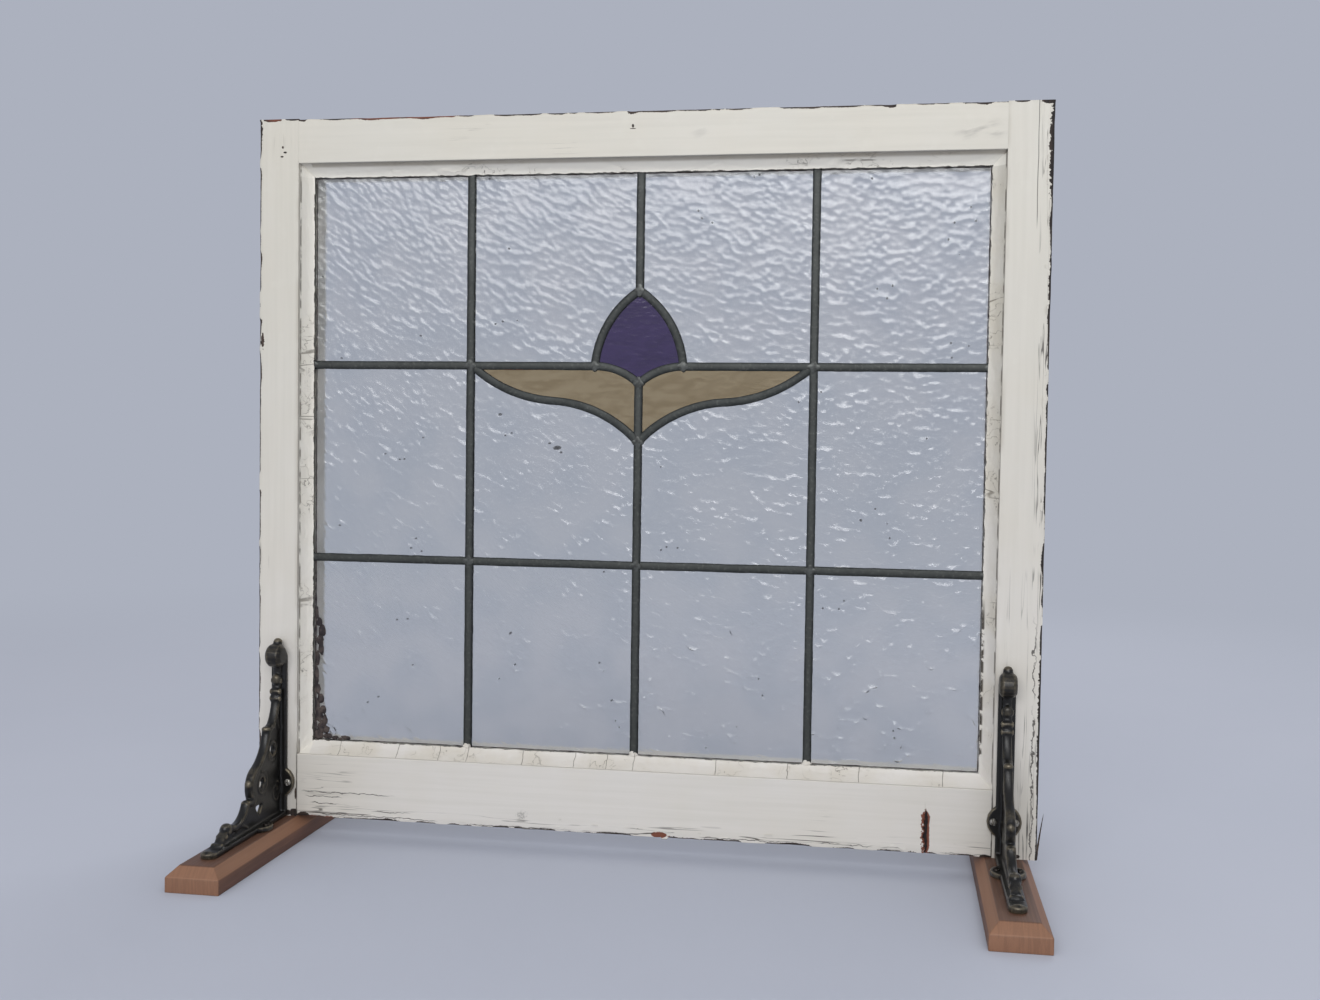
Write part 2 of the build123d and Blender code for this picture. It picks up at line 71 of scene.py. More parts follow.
BORDER_LOW = sum(corner.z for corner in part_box("bottom_border_came")) / 2
BORDER_HIGH = sum(corner.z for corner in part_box("top_border_came")) / 2
LOWER_BAR = sum(corner.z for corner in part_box("lower_level_cames")) / 2
UPPER_BAR = sum(corner.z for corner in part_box("upper_outer_cames")) / 2
LEFT_FOOT_X = sum(corner.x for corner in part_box("left_foot")) / 2
RIGHT_FOOT_X = sum(corner.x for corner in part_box("right_foot")) / 2
FOOT_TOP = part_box("left_foot")[1].z

# Places and sizes read from the photo
MM = 0.001
CAME_HALF = 3.1 * MM
PETAL_FOOT = 34.0 * MM
TULIP_TOP = UPPER_BAR + 57.2 * MM
TULIP_BASE = UPPER_BAR - 13.1 * MM
LEAF_JOINT = UPPER_BAR - 57.6 * MM
LEAF_MIDDLE = UPPER_BAR - 26.7 * MM
LIP_BEVEL = 6.0 * MM
SCORCH_X = 220.3 * MM
SCORCH_REACH = 5.5 * MM
SPLIT_X, LIFTED_X = 288.8 * MM, 294.6 * MM
# Stretches of the top rail's front arris that are worn through, in metres
WORN_THROUGH = ((-0.300, -0.262), (-0.203, -0.143))
JOINT_RISE = 0.42 * MM
FLAKE_THICK = 0.12 * MM
LUG_PLATE = 4.0 * MM
CAMERA_PLACE = Vector((0.18697, -1.03916, 0.31508))
CAMERA_TURN = (-9.3, -2.3, 0.8)
CAMERA_LENS = 37.68

# Noise waves to the metre that roughen large and small outlines
WIDE_RAG, FINE_RAG = 110.0, 420.0
# Points from the rebate's wall to the toe on the face of the putty
PUTTY_ROWS = 15


def shade(red, green, blue):
    """A colour written in the usual 0 to 255 steps, as the renderer wants it."""
    parts = [step / 255 for step in (red, green, blue)]
    return tuple(p / 12.92 if p <= 0.04045 else ((p + 0.055) / 1.055) ** 2.4 for p in parts)


# Whiter, more neutral paint low on the sash; its extra lightness there is painted light that makes
# up for the light falling off towards the floor.
WHITER_PAINT_AND_LIGHT = shade(227, 223, 218)


def colour_setting(name, description, rgb):
    """A colour that shows in the sidebar."""
    return FloatVectorProperty(
        name=name, description=description, default=shade(*rgb), size=3, min=0, max=1,
        subtype="COLOR",
    )


def length_setting(name, description, millimetres):
    """A length that shows in the sidebar."""
    return FloatProperty(
        name=name, description=description, default=millimetres * MM, min=0, unit="LENGTH",
        precision=5,
    )


def power_setting(name, description, watts):
    """The power of a light, as it shows in the sidebar."""
    return FloatProperty(
        name=name, description=description, default=watts, min=0, subtype="POWER", unit="POWER"
    )


class SashSettings(PropertyGroup):
    """Sizes and colours of the painted sash."""

    paint: colour_setting("Paint", "Cream oil paint", (215, 211, 199))
    wood: colour_setting("Bare wood", "Weathered wood where the paint is gone", (72, 58, 50))
    fresh_wood: colour_setting("Torn wood", "Redder wood in fresh chips", (122, 70, 52))
    grime: colour_setting("Grime", "Dirt in the corners of the paint", (146, 136, 116))
    chip_depth: length_setting("Chip depth", "How deep the arrises are worn", 1.1)
    sag: length_setting("Unevenness", "How far the faces are from flat", 0.16)
    ring_step: length_setting("Ring step", "Spacing of the mesh along a member", 2.0)


class LeadSettings(PropertyGroup):
    """Sizes and colours of the lead and its solder."""

    lead: colour_setting("Lead", "Oxidised lead", (54, 57, 55))
    dust: colour_setting("Dust", "Pale oxide and dust on the lead", (118, 119, 113))
    solder: colour_setting("Solder", "Tinned joints", (88, 90, 87))
    crown: length_setting("Crown", "Height of the rounded face of a came", 0.75)
    joint: length_setting("Joint radius", "Radius of a solder joint", 4.0)


class GlassSettings(PropertyGroup):
    """Sizes and colours of the glass."""

    clear: colour_setting("Clear glass", "Body colour of the clear panes", (240, 240, 238))
    violet: colour_setting("Violet glass", "Body colour of the flower", (92, 76, 118))
    amber: colour_setting("Amber glass", "Body colour of the leaves", (198, 176, 136))
    pebble: length_setting("Pebble", "Length of the hammer marks", 5.8)
    ripple: length_setting("Ripple", "How steeply the hammer marks are dished", 1.02)


class StandSettings(PropertyGroup):
    """Sizes and colours of the feet and brackets."""

    foot: colour_setting("Foot wood", "Stained softwood", (122, 84, 64))
    foot_dark: colour_setting("Foot grain", "Late wood of the feet", (86, 57, 44))
    iron: colour_setting("Iron", "Blackened casting", (25, 24, 22))
    # Rubbed iron on the casting's high places, also standing in as a painted highlight there
    rubbed_and_sheen: colour_setting("Rubbed iron", "Where hands have polished the casting", (138, 128, 108))
    screw: colour_setting("Screw", "Plated screw heads", (176, 172, 162))
    cast_grain: length_setting("Casting step", "Spacing of the mesh of a casting", 0.75)


class StageSettings(PropertyGroup):
    """Light and floor."""

    floor: colour_setting("Floor", "Pale floor", (198, 203, 216))
    sky: colour_setting("Backdrop", "Pale backdrop", (172, 177, 190))
    key: power_setting("Main light", "Power of the high soft light", 10.4)
    window: power_setting("Window light", "Power of the wide light in front", 42.0)
    ambient: FloatProperty(
        name="Ambient", description="Strength of the light all round", default=0.46, min=0
    )


def settings(name):
    """One group of the sidebar's settings."""
    return getattr(bpy.context.scene, "window_" + name)


# Shader sums


class Value:
    """A number that changes over a surface, for use in plain sums."""

    def __init__(self, nodes, socket):
        self.nodes = nodes
        self.socket = socket

    def __add__(self, other):
        return self.nodes.maths("ADD", self, other)

    def __radd__(self, other):
        return self.nodes.maths("ADD", other, self)

    def __sub__(self, other):
        return self.nodes.maths("SUBTRACT", self, other)

    def __rsub__(self, other):
        return self.nodes.maths("SUBTRACT", other, self)

    def __mul__(self, other):
        return self.nodes.maths("MULTIPLY", self, other)

    def __rmul__(self, other):
        return self.nodes.maths("MULTIPLY", other, self)

    def __truediv__(self, other):
        return self.nodes.maths("DIVIDE", self, other)

    def __rtruediv__(self, other):
        return self.nodes.maths("DIVIDE", other, self)

    def __pow__(self, other):
        return self.nodes.maths("POWER", self, other)

    def __abs__(self):
        return self.nodes.maths("ABSOLUTE", self)

    def least(self, other):
        """The smaller of the two."""
        return self.nodes.maths("MINIMUM", self, other)

    def most(self, other):
        """The larger of the two."""
        return self.nodes.maths("MAXIMUM", self, other)

    def ease(self, low, high):
        """Smoothly from 0 at low to 1 at high."""
        ends = {"Value": self, "From Min": low, "From Max": high}
        made = self.nodes.node("MapRange", {"interpolation_type": "SMOOTHSTEP"}, ends)
        return Value(self.nodes, made.outputs["Result"])

    def fade(self, low, high):
        """Smoothly from 1 at low to 0 at high."""
        return 1 - self.ease(low, high)


class Nodes:
    """A node tree to fill, with the node that closes it."""

    def __init__(self, owner, closing):
        owner.use_nodes = True
        self.tree = owner.node_tree
        self.tree.nodes.clear()
        self.end = self.node(closing)

    def node(self, kind, settings=None, sockets=None):
        """Any node: its settings first, then the values or links of its sockets."""
        made = self.tree.nodes.new("ShaderNode" + kind)
        for key, value in (settings or {}).items():
            setattr(made, key, value)
        for key, value in (sockets or {}).items():
            self.feed(made.inputs[key], value)
        return made

    def feed(self, socket, value):
        """A link from a value or socket, or a plain number or colour."""
        if isinstance(value, Value):
            self.tree.links.new(value.socket, socket)
        elif isinstance(value, bpy.types.NodeSocket):
            self.tree.links.new(value, socket)
        else:
            socket.default_value = value

    def close(self, shader):
        """Give the closing node its shader."""
        self.feed(self.end.inputs["Surface"], shader.outputs[0])

    def maths(self, operation, *terms):
        """One Math node."""
        made = self.node("Math", {"operation": operation}, dict(enumerate(terms)))
        return Value(self, made.outputs[0])

    def seen(self):
        """1 for what is seen directly, in a reflection or through glass."""
        path = self.node("LightPath")
        kinds = ("Is Camera Ray", "Is Glossy Ray", "Is Transmission Ray")
        return reduce(Value.most, [Value(self, path.outputs[kind]) for kind in kinds])


class Finish(Nodes):
    """A material put together from shader nodes."""

    def __init__(self, name):
        self.material = bpy.data.materials.new(name)
        super().__init__(self.material, "OutputMaterial")
        self.rags = {}
        self.here = self.node("TexCoord").outputs["Object"]
        apart = self.node("SeparateXYZ", None, {"Vector": self.here})
        self.x, self.y, self.z = (Value(self, socket) for socket in apart.outputs)

    def vector(self, operation, *terms):
        """One Vector Math node; a scale's number goes in its own socket."""
        sockets = {0: terms[0], "Scale" if operation == "SCALE" else 1: terms[1]}
        return self.node("VectorMath", {"operation": operation}, sockets).outputs[0]

    def stretched(self, x, y, z, turn=0.0):
        """Places scaled along each axis, after a turn in the plane of the panel."""
        angle = {"Vector": self.here, "Angle": math.radians(turn)}
        turned = self.node("VectorRotate", {"rotation_type": "Y_AXIS"}, angle)
        return self.vector("MULTIPLY", turned.outputs[0], (x, y, z))

    def nudged(self, where, scale, amount):
        """Places shifted about by noise, so that patterns wander."""
        wander = self.node("TexNoise", None, {"Vector": where, "Scale": scale, "Detail": 2.0})
        centred = self.vector("SUBTRACT", wander.outputs["Color"], (0.5, 0.5, 0.5))
        return self.vector("ADD", where, self.vector("SCALE", centred, amount))

    def cloud(self, scale, detail=3.0, where=None):
        """Soft noise from 0 to 1."""
        look = {"Vector": where or self.here, "Scale": scale, "Detail": detail, "Roughness": 0.55}
        return Value(self, self.node("TexNoise", None, look).outputs["Fac"])

    def flat_cloud(self, scale, detail, where):
        """The same noise in the panel's plane alone, which renders faster."""
        look = {"Vector": where, "Scale": scale, "Detail": detail, "Roughness": 0.55}
        made = self.node("TexNoise", {"noise_dimensions": "2D"}, look)
        return Value(self, made.outputs["Fac"])

    def cells(self, scale, where, feature="F1"):
        """Scattered cells in a plane: distance from the middle, and a number for each."""
        kind = {"feature": feature, "voronoi_dimensions": "2D"}
        made = self.node("TexVoronoi", kind, {"Vector": where, "Scale": scale})
        return Value(self, made.outputs["Distance"]), Value(self, made.outputs["Color"])

    def plane(self, across, up):
        """Flat coordinates for patterns drawn on the panel."""
        return self.node("CombineXYZ", None, {0: across, 1: up}).outputs[0]

    def stored(self, name):
        """A value kept on the mesh's points."""
        return Value(self, self.node("Attribute", {"attribute_name": name}).outputs["Fac"])

    def layered(self, colour, *layers):
        """A colour with further tones laid over it, each by its own mask from 0 to 1."""
        for mask, tone in layers:
            sockets = {0: mask, 6: opaque(colour), 7: opaque(tone)}
            colour = self.node("Mix", {"data_type": "RGBA"}, sockets).outputs[2]
        return colour

    def rag(self, scale):
        """Noise about zero that roughens the outlines of spots."""
        if scale not in self.rags:
            self.rags[scale] = self.cloud(scale) - 0.5
        return self.rags[scale]

    def swing(self, wide, fine):
        """How far lines drawn on a face stray, from their two reaches in mm."""
        return self.rag(WIDE_RAG) * wide * MM + self.rag(FINE_RAG) * fine * MM

    def mark(self, x, z, half_x, half_z, ragged=0.6, soft=0.12):
        """Ragged spot on the front, in mm, from 0 outside to 1 inside."""
        wide = (self.x - x * MM) / (half_x * MM)
        tall = (self.z - z * MM) / (half_z * MM)
        away = (wide * wide + tall * tall) ** 0.5
        edge = self.rag(FINE_RAG if half_x < 8 else WIDE_RAG) * ragged
        return (1 - away + edge).ease(0.0, soft)

    def marks(self, *spots):
        """Several ragged spots together."""
        return reduce(Value.most, [self.mark(*spot) for spot in spots])

    def surface(self, colour, rough, height=None, **others):
        """The closing surface shader, with bumps from heights in metres."""
        sockets = {key.replace("_", " "): value for key, value in others.items()}
        sockets.update({"Base Color": colour, "Roughness": rough})
        if height is not None:
            bump = self.node("Bump", None, {"Strength": 1.0, "Distance": 1.0, "Height": height})
            sockets["Normal"] = bump.outputs[0]
        self.close(self.node("BsdfPrincipled", None, sockets))
        return self.material


def opaque(colour):
    """A colour with its alpha, or the link as it is."""
    if isinstance(colour, (bpy.types.NodeSocket, Value)):
        return colour
    return tuple(colour)[:3] + (1.0,)


# Meshes


def piece(name, shape, material, smooth, replaced=()):
    """A mesh object of the window, riding on the frame."""
    points, faces = shape
    mesh = bpy.data.meshes.new(name)
    mesh.from_pydata([tuple(point) for point in points], [], faces)
    work = bmesh.new()
    work.from_mesh(mesh)
    bmesh.ops.recalc_face_normals(work, faces=work.faces)
    work.to_mesh(mesh)
    work.free()
    return finished(name, mesh, material, smooth, replaced)


def finished(name, mesh, material, smooth, replaced):
    """Object with its material and body, hiding the solids it replaces."""
    mesh.materials.clear()
    mesh.materials.append(material)
    mesh.shade_smooth()
    mesh.set_sharp_from_angle(angle=math.radians(smooth))
    made = bpy.data.objects.new(name + "_finished" if name in replaced else name, mesh)
    bpy.context.scene.collection.objects.link(made)
    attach(made, "root")
    if replaced:
        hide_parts(*replaced)
    return made


def store(mesh, name, values):
    """Keep one number for each point of a mesh."""
    layer = mesh.attributes.new(name, "FLOAT", "POINT")
    layer.data.foreach_set("value", values)


def ring_faces(rings, count):
    """Faces between closed rings of points, with flat ends."""
    faces = []
    for ring in range(rings - 1):
        start = ring * count
        for k in range(count):
            a, b = start + k, start + (k + 1) % count
            faces.append((a, b, b + count, a + count))
    last = (rings - 1) * count
    faces.append(tuple(reversed(range(count))))
    faces.append(tuple(range(last, last + count)))
    return faces


def ball(subdivisions, radius, moved):
    """Points and faces of a ball, each point put in its place by a function."""
    work = bmesh.new()
    bmesh.ops.create_icosphere(work, subdivisions=subdivisions, radius=radius)
    points = [moved(vertex.co) for vertex in work.verts]
    faces = [tuple(v.index for v in face.verts) for face in work.faces]
    work.free()
    return points, faces


def joined(parts):
    """One list of points and faces from several."""
    points, faces = [], []
    for more_points, more_faces in parts:
        start = len(points)
        points += more_points
        faces += [tuple(start + k for k in face) for face in more_faces]
    return points, faces


def ramp(value, low, high):
    """Smoothly from 0 at low to 1 at high."""
    t = min(1.0, max(0.0, (value - low) / (high - low)))
    return t * t * (3 - 2 * t)


def steps(start, end, step):
    """Evenly spaced numbers with both ends."""
    count = max(1, round(abs(end - start) / step))
    return [start + (end - start) * k / count for k in range(count + 1)]


def angles(count):
    """Evenly spaced angles all the way round."""
    return [2 * math.pi * k / count for k in range(count)]


def grain(x, y=0.0, z=0.0):
    """Smooth noise from -1 to 1."""
    return noise.noise(Vector((x, y, z)))


# Sash


class Corner:
    """A corner of a section, with its rounding in mm and how worn it is."""

    def __init__(self, inward, depth, radius, wear=0.0):
        self.place = Vector((inward, depth))
        self.radius = radius * MM
        self.wear = wear


def divisions(corners):
    """Shares of each straight side where points go, closer near its corners."""
    plan = []
    for k, corner in enumerate(corners):
        after = corners[(k + 1) % len(corners)]
        length = (after.place - corner.place).length - corner.radius - after.radius
        near = [d * MM for d in (0.6, 1.3, 2.2, 3.4) if d * MM < length / 2]
        spread = steps(near[-1], length - near[-1], 3.2 * MM) if near else []
        run = near[:-1] + spread + [length - d for d in reversed(near[:-1])]
        plan.append([d / length for d in run])
    return plan


def rounded_section(corners, plan):
    """Points round a section, close together near its corners."""
    points = []
    for k, corner in enumerate(corners):
        before, after = corners[k - 1], corners[(k + 1) % len(corners)]
        to_before = (before.place - corner.place).normalized()
        to_after = (after.place - corner.place).normalized()
        start = corner.place + to_before * corner.radius
        end = corner.place + to_after * corner.radius
        for t in (0.0, 0.25, 0.5, 0.75, 1.0):
            near = start.lerp(corner.place, t)
            points.append(near.lerp(corner.place.lerp(end, t), t))
        far = after.place - to_after * after.radius
        points += [end.lerp(far, share) for share in plan[k]]
    return points


def section_normals(points):
    """Outward direction at each point of a section."""
    pairs = [(points[k - 1], points[k]) for k in range(len(points))]
    sign = 1 if sum(a.x * b.y - b.x * a.y for a, b in pairs) > 0 else -1
    normals = []
    for k in range(len(points)):
        along = points[(k + 1) % len(points)] - points[k - 1]
        normals.append(Vector((along.y, -along.x)).normalized() * sign)
    return normals


def wear_at(point, corners, along, seed):
    """How worn a point of a section is at one place along the member."""
    most = 0.0
    for k, corner in enumerate(corners):
        if corner.wear <= 0:
            continue
        reach = (1.5 + 2.4 * max(0.0, grain(along * 45, k * 7.7, seed))) * MM
        away = (point - corner.place).length
        if away > 3 * reach:
            continue
        patch = grain(along * 37, k * 3.1, seed + 4) + 0.5 * grain(along * 118, k, seed)
        amount = ramp(patch + 1.5 * corner.wear - 0.9, -0.15, 0.75)
        most = max(most, amount * math.exp(-((away / reach) ** 2)))
    return most


def member(name, corners_at, along_list, unit, place, material, seed, carve=None, square=False):
    """A length of sash whose arrises are chipped and whose faces wander.

    With square, both end rings keep the plain section, so that their flat caps close cleanly.
    """
    sash = settings("sash")
    points, worn = [], []
    plan = divisions(corners_at(along_list[len(along_list) // 2]))
    for share in along_list:
        corners = corners_at(share)
        section = rounded_section(corners, plan)
        plain = square and share in (along_list[0], along_list[-1])
        for point, normal in zip(section, section_normals(section)):
            at = place(point, share)
            wear = wear_at(point, corners, share * unit, seed)
            dip = sash.sag * (0.5 + 0.5 * grain(at.x * 22, at.y * 22, at.z * 22))
            dip += sash.chip_depth * wear * (0.75 + 0.25 * grain(*(at * 700)))
            if carve:
                dip += carve(at)
            points.append(at if plain else place(point - normal * dip, share))
            worn.append(wear)
    shape = points, ring_faces(len(along_list), len(points) // len(along_list))
    made = piece(name, shape, material, 40.0, (name,))
    store(made.data, "worn", worn)


def stile_corners(side, height):
    """Section of a stile at a height: inward from its outer side, and depth."""
    face, lip = abs(SASH_LOW.x) - REBATE_X, abs(SASH_LOW.x) - SIGHT_X
    end = min(SIGHT_HIGH - height, height - SIGHT_LOW)
    bevel = LIP_BEVEL * min(1.0, max(0.02, 1 + end / LIP_BEVEL))
    return [
        Corner(0, SASH_FRONT, 1.4, 0.9 if side > 0 else 0.96),
        Corner(face, SASH_FRONT, 0.5 if REBATE_LOW < height < REBATE_HIGH else 0.04),
        Corner(face, LEAD_BACK, 0.2),
        Corner(lip, LEAD_BACK, 0.3),
        Corner(lip, SASH_BACK - bevel, 0.02, 0.1),
        Corner(lip - bevel, SASH_BACK, 0.05, 0.1),
        Corner(0, SASH_BACK, 1.4, 0.4),
    ]


def stile_place(side, point, height):
    """Where a point of a stile's section stands."""
    return Vector((side * (abs(SASH_LOW.x) - point.x), point.y, height))


def build_stiles(material):
    """Both stiles."""
    heights = steps(SASH_LOW.z, SASH_HIGH.z, settings("sash").ring_step)
    for side, name, seed in ((-1, "left_stile", 3.0), (1, "right_stile", 17.0)):
        corners, place = partial(stile_corners, side), partial(stile_place, side)
        member(name, corners, heights, 1.0, place, material, seed, square=True)


def rail_corners(top, share):
    """Section of a rail: inward from its outer edge, and depth."""
    outer_z = SASH_HIGH.z if top else SASH_LOW.z
    face = abs(outer_z - (REBATE_HIGH if top else REBATE_LOW))
    lip = abs(outer_z - (SIGHT_HIGH if top else SIGHT_LOW))
    radius, wear = (1.3, 0.86) if top else (0.7, 0.8)
    x = share * REBATE_X
    if top and any(low < x < high for low, high in WORN_THROUGH):
        wear = 1.3
    return [
        Corner(0, SASH_FRONT, radius, wear),
        Corner(face, SASH_FRONT, 0.5),
        Corner(face, LEAD_BACK, 0.2),
        Corner(lip, LEAD_BACK, 0.3),
        Corner(lip, SASH_BACK - LIP_BEVEL, 0.3, 0.1),
        Corner(lip - LIP_BEVEL, SASH_BACK, 0.3, 0.1),
        Corner(0, SASH_BACK, radius, 0.4),
        Corner(0, LEAD_BACK, 0.3),
    ]


def rail_place(top, point, share):
    """Where a point of a rail's section stands; the back part is the shorter one."""
    reach = REBATE_X if point.y < LEAD_BACK - 0.1 * MM else SIGHT_X
    up = SASH_HIGH.z - point.x if top else SASH_LOW.z + point.x
    return Vector((share * reach, point.y, up))


def scorch(at):
    """Depth of the split burnt into the bottom rail."""
    if at.y > SASH_FRONT + 2 * MM:
        return 0.0
    middle = SCORCH_X + 0.8 * MM * grain(at.z * 260, 2.0)
    half = 1.1 * MM * ramp(at.z, 0.012, 0.022) * ramp(-at.z, -0.053, -0.040)
    if half <= 0:
        return 0.0
    return 1.3 * MM * ramp(half - abs(at.x - middle), -0.9 * MM, 0.7 * MM)


def build_rails(material):
    """Both rails, between the stiles, with closer rings at the burnt split."""
    shares = steps(-1.0, 1.0, settings("sash").ring_step / REBATE_X)
    close = steps(
        (SCORCH_X - SCORCH_REACH) / REBATE_X, (SCORCH_X + SCORCH_REACH) / REBATE_X,
        0.35 * MM / REBATE_X,
    )
    bottom_shares = sorted([s for s in shares if not close[0] <= s <= close[-1]] + close)
    for top, name, along, seed, carve in (
        (True, "top_rail", shares, 31.0, None), (False, "bottom_rail", bottom_shares, 47.0, scorch),
    ):
        corners, place = partial(rail_corners, top), partial(rail_place, top)
        member(name, corners, along, REBATE_X, place, material, seed, carve)


# Putty


def repair(run, t):
    """Swell of the two mends in the top putty, from 0 to 1."""
    near_toe = math.exp(-(((t - 0.72) / 0.22) ** 2))
    first = math.exp(-(((run + 0.153) / 0.011) ** 4))
    second = math.exp(-(((run - 0.1465) / 0.005) ** 4))
    return max(first, second) * near_toe * (0.7 + 0.5 * grain(run * 420, t * 4))


def putty_depth(side, run, t, seed):
    """Depth of the putty's face, from the rebate's wall at 0 to its toe at 1."""
    fall = 1 - (1 - t) ** 1.6
    depth = PUTTY_FRONT + (PUTTY_BACK - 0.9 * MM - PUTTY_FRONT) * fall
    lump = 0.32 * grain(run * 55, t * 3, seed) + 0.16 * grain(run * 260, t * 7, seed)
    split = abs(grain(run * 31, t * 0.35, seed + 5))
    lump += 0.55 * ramp(0.02 - split, 0.0, 0.02)
    depth += lump * MM * math.sin(math.pi * (0.08 + 0.84 * t))
    if side == "top":
        depth -= 1.3 * MM * repair(run, t)
    return max(PUTTY_FRONT, depth)


def putty_strip(name, side, material, seed):
    """Hand-run putty with a wavy toe, mitred at its ends."""
    half = REBATE_X if side in ("top", "bottom") else (REBATE_HIGH - REBATE_LOW) / 2
    middle = (REBATE_HIGH + REBATE_LOW) / 2
    along = steps(-1.0, 1.0, 1.6 * MM / half)
    rows = [k / (PUTTY_ROWS - 1) for k in range(PUTTY_ROWS)]
    points = []
    for share in along:
        run = share * half
        toe = REBATE_X - SIGHT_X
        toe += 0.55 * MM * grain(run * 140, seed) + 0.25 * MM * grain(run * 700, seed)
        if side == "left":
            low_part = ramp(0.18 - (middle + run), 0.0, 0.05)
            toe -= (0.9 + 0.9 * low_part * max(0.0, grain(run * 90, 9.0))) * MM
        ring = [(toe * t, putty_depth(side, run, t, seed)) for t in rows]
        ring += [(toe - 0.15 * MM, PUTTY_BACK - 0.3 * MM), (toe - 0.5 * MM, PUTTY_BACK)]
        ring += [(0.0, PUTTY_BACK)]
        for inward, depth in ring:
            stretch = share * (half - inward)
            points.append({
                "left": (-REBATE_X + inward, depth, middle + stretch),
                "right": (REBATE_X - inward, depth, middle + stretch),
                "top": (stretch, depth, REBATE_HIGH - inward),
                "bottom": (stretch, depth, REBATE_LOW + inward),
            }[side])
    shape = points, ring_faces(len(along), PUTTY_ROWS + 3)
    made = piece(name, shape, material, 50.0, (name,))
    store(made.data, "toe", (rows + [1.0, 1.0, 0.0]) * len(along))


def build_putty(material):
    """Putty on all four sides."""
    for seed, side in enumerate(("left", "right", "top", "bottom")):
        putty_strip(side + "_putty", side, material, 11.0 * seed + 2)


def lump(place, wide, tall, seed, flat=0.45):
    """A small irregular lump pressed flat against the glass, its half sizes in mm."""

    def moved(direction):
        direction = direction.normalized()
        swell = 1 + 0.45 * grain(*(direction * 1.3 + Vector((seed, 0, 0))))
        at = Vector((direction.x * wide, direction.y * flat * wide, direction.z * tall)) * MM
        return place + at * swell

    return ball(2, 1.0, moved)


def cement_line(start, end, half, seed):
    """A thin ragged line of cement along the edge of the putty."""
    run = end - start
    along = run.normalized()
    across = Vector((along.z, 0, -along.x))
    points = []
    rings = steps(0.0, run.length, 1.5 * MM)
    for at in rings:
        wide = half(at) * (0.75 + 0.7 * max(-0.6, grain(at * 210, seed) + grain(at * 60, seed)))
        wide = max(0.08 * MM, wide)
        middle = start + along * at
        rise = 0.35 * MM + 0.25 * wide
        for u, v in ((-1.0, 0.0), (-0.6, 0.8), (0.0, 1.0), (0.6, 0.8), (1.0, 0.0)):
            points.append(middle + across * (wide * u) + Vector((0, -rise * v, 0)))
    return points, ring_faces(len(rings), 5)


def build_paint_blobs(material):
    """Blobs of paint over the lower ends of the upright cames."""
    parts = []
    for k, x in enumerate((-UPRIGHT_X, 0.0, UPRIGHT_X)):
        for step, (shift, up, wide, tall) in enumerate(
            ((0.0, 0.3, 3.4, 1.6), (-1.1, 1.5, 1.8, 1.8), (1.3, 1.0, 1.7, 1.5))
        ):
            spot = Vector((x + shift * MM, LEAD_FRONT + 0.1 * MM, SIGHT_LOW + up * MM))
            parts.append(lump(spot, wide, tall, k * 5.1 + step * 1.7, 0.5))
    piece("paint_blobs", joined(parts), material, 60.0)


def build_cement(material):
    """Dark cement between the putty and the glass, and lumps where the putty has gone."""
    inset = 0.6 * MM
    x, low, high = SIGHT_X - inset, SIGHT_LOW + inset, SIGHT_HIGH - inset
    corners = [Vector((u, GLASS_FRONT, v)) for u, v in ((-x, low), (-x, high), (x, high), (x, low))]
    halves = (
        lambda at: (0.95 - 0.5 * ramp(at, 0.1, 0.2)) * MM,
        lambda at: 0.42 * MM,
        lambda at: 0.4 * MM,
        lambda at: 0.36 * MM,
    )
    parts = [
        cement_line(corners[k], corners[(k + 1) % 4], half, k + 1.0)
        for k, half in enumerate(halves)
    ]
    for k, (x, z, wide, tall) in enumerate((
        (-256.2, 178, 1.4, 5.0), (-254.4, 171, 2.4, 4.2), (-251.9, 164, 3.0, 4.6),
        (-253.8, 157, 2.6, 4.0), (-252.6, 150, 2.2, 5.5), (-255.6, 142, 1.8, 6.0),
        (-256.4, 128, 1.5, 8.0), (-255.2, 117, 2.0, 4.4), (-253.0, 110, 2.6, 4.0),
        (-255.8, 104, 2.0, 6.0), (-251.0, 101, 2.8, 3.6), (-254.2, 96, 3.0, 5.0),
        (-249.6, 93, 2.4, 4.2), (-252.6, 87, 3.4, 5.0), (-248.4, 85, 3.0, 3.4),
        (-254.4, 81, 3.4, 4.6), (-246.6, 80, 3.6, 2.4), (-241.0, 79, 3.0, 1.6),
        (-233.4, 79.4, 2.2, 1.8), (-230.0, 79.2, 2.0, 1.6), (-236.6, 78.2, 2.0, 1.0),
    )):
        parts.append(lump(Vector((x * MM, GLASS_FRONT - 0.3 * MM, z * MM)), wide, tall, k * 1.7))
    piece("old_cement", joined(parts), material, 60.0)


# Lead


def bowed(start, end, rise, count):
    """Points along an arc that rises to the left of the straight line."""
    chord = end - start
    half = chord.length / 2
    left = Vector((-chord.y, chord.x)).normalized()
    radius = (half * half + rise * rise) / (2 * rise)
    centre = start.lerp(end, 0.5) + left * (rise - radius)
    first, last = start - centre, end - centre
    sweep = first.angle_signed(last, 0.0)
    points = []
    for k in range(count + 1):
        c, s = math.cos(-sweep * k / count), math.sin(-sweep * k / count)
        points.append(centre + Vector((first.x * c - first.y * s, first.x * s + first.y * c)))
    return points


def leaving(start, end, direction, count):
    """Points along the arc that leaves the start in a direction."""
    chord = end - start
    angle = math.atan2(direction.y, direction.x) - math.atan2(chord.y, chord.x)
    angle = math.atan2(math.sin(angle), math.cos(angle))
    return bowed(start, end, chord.length / 2 * math.tan(angle / 2), count)


def directions(path):
    """Direction of a path at each of its points."""
    ends = [(path[max(k - 1, 0)], path[min(k + 1, len(path) - 1)]) for k in range(len(path))]
    return [(ahead - behind).normalized() for behind, ahead in ends]


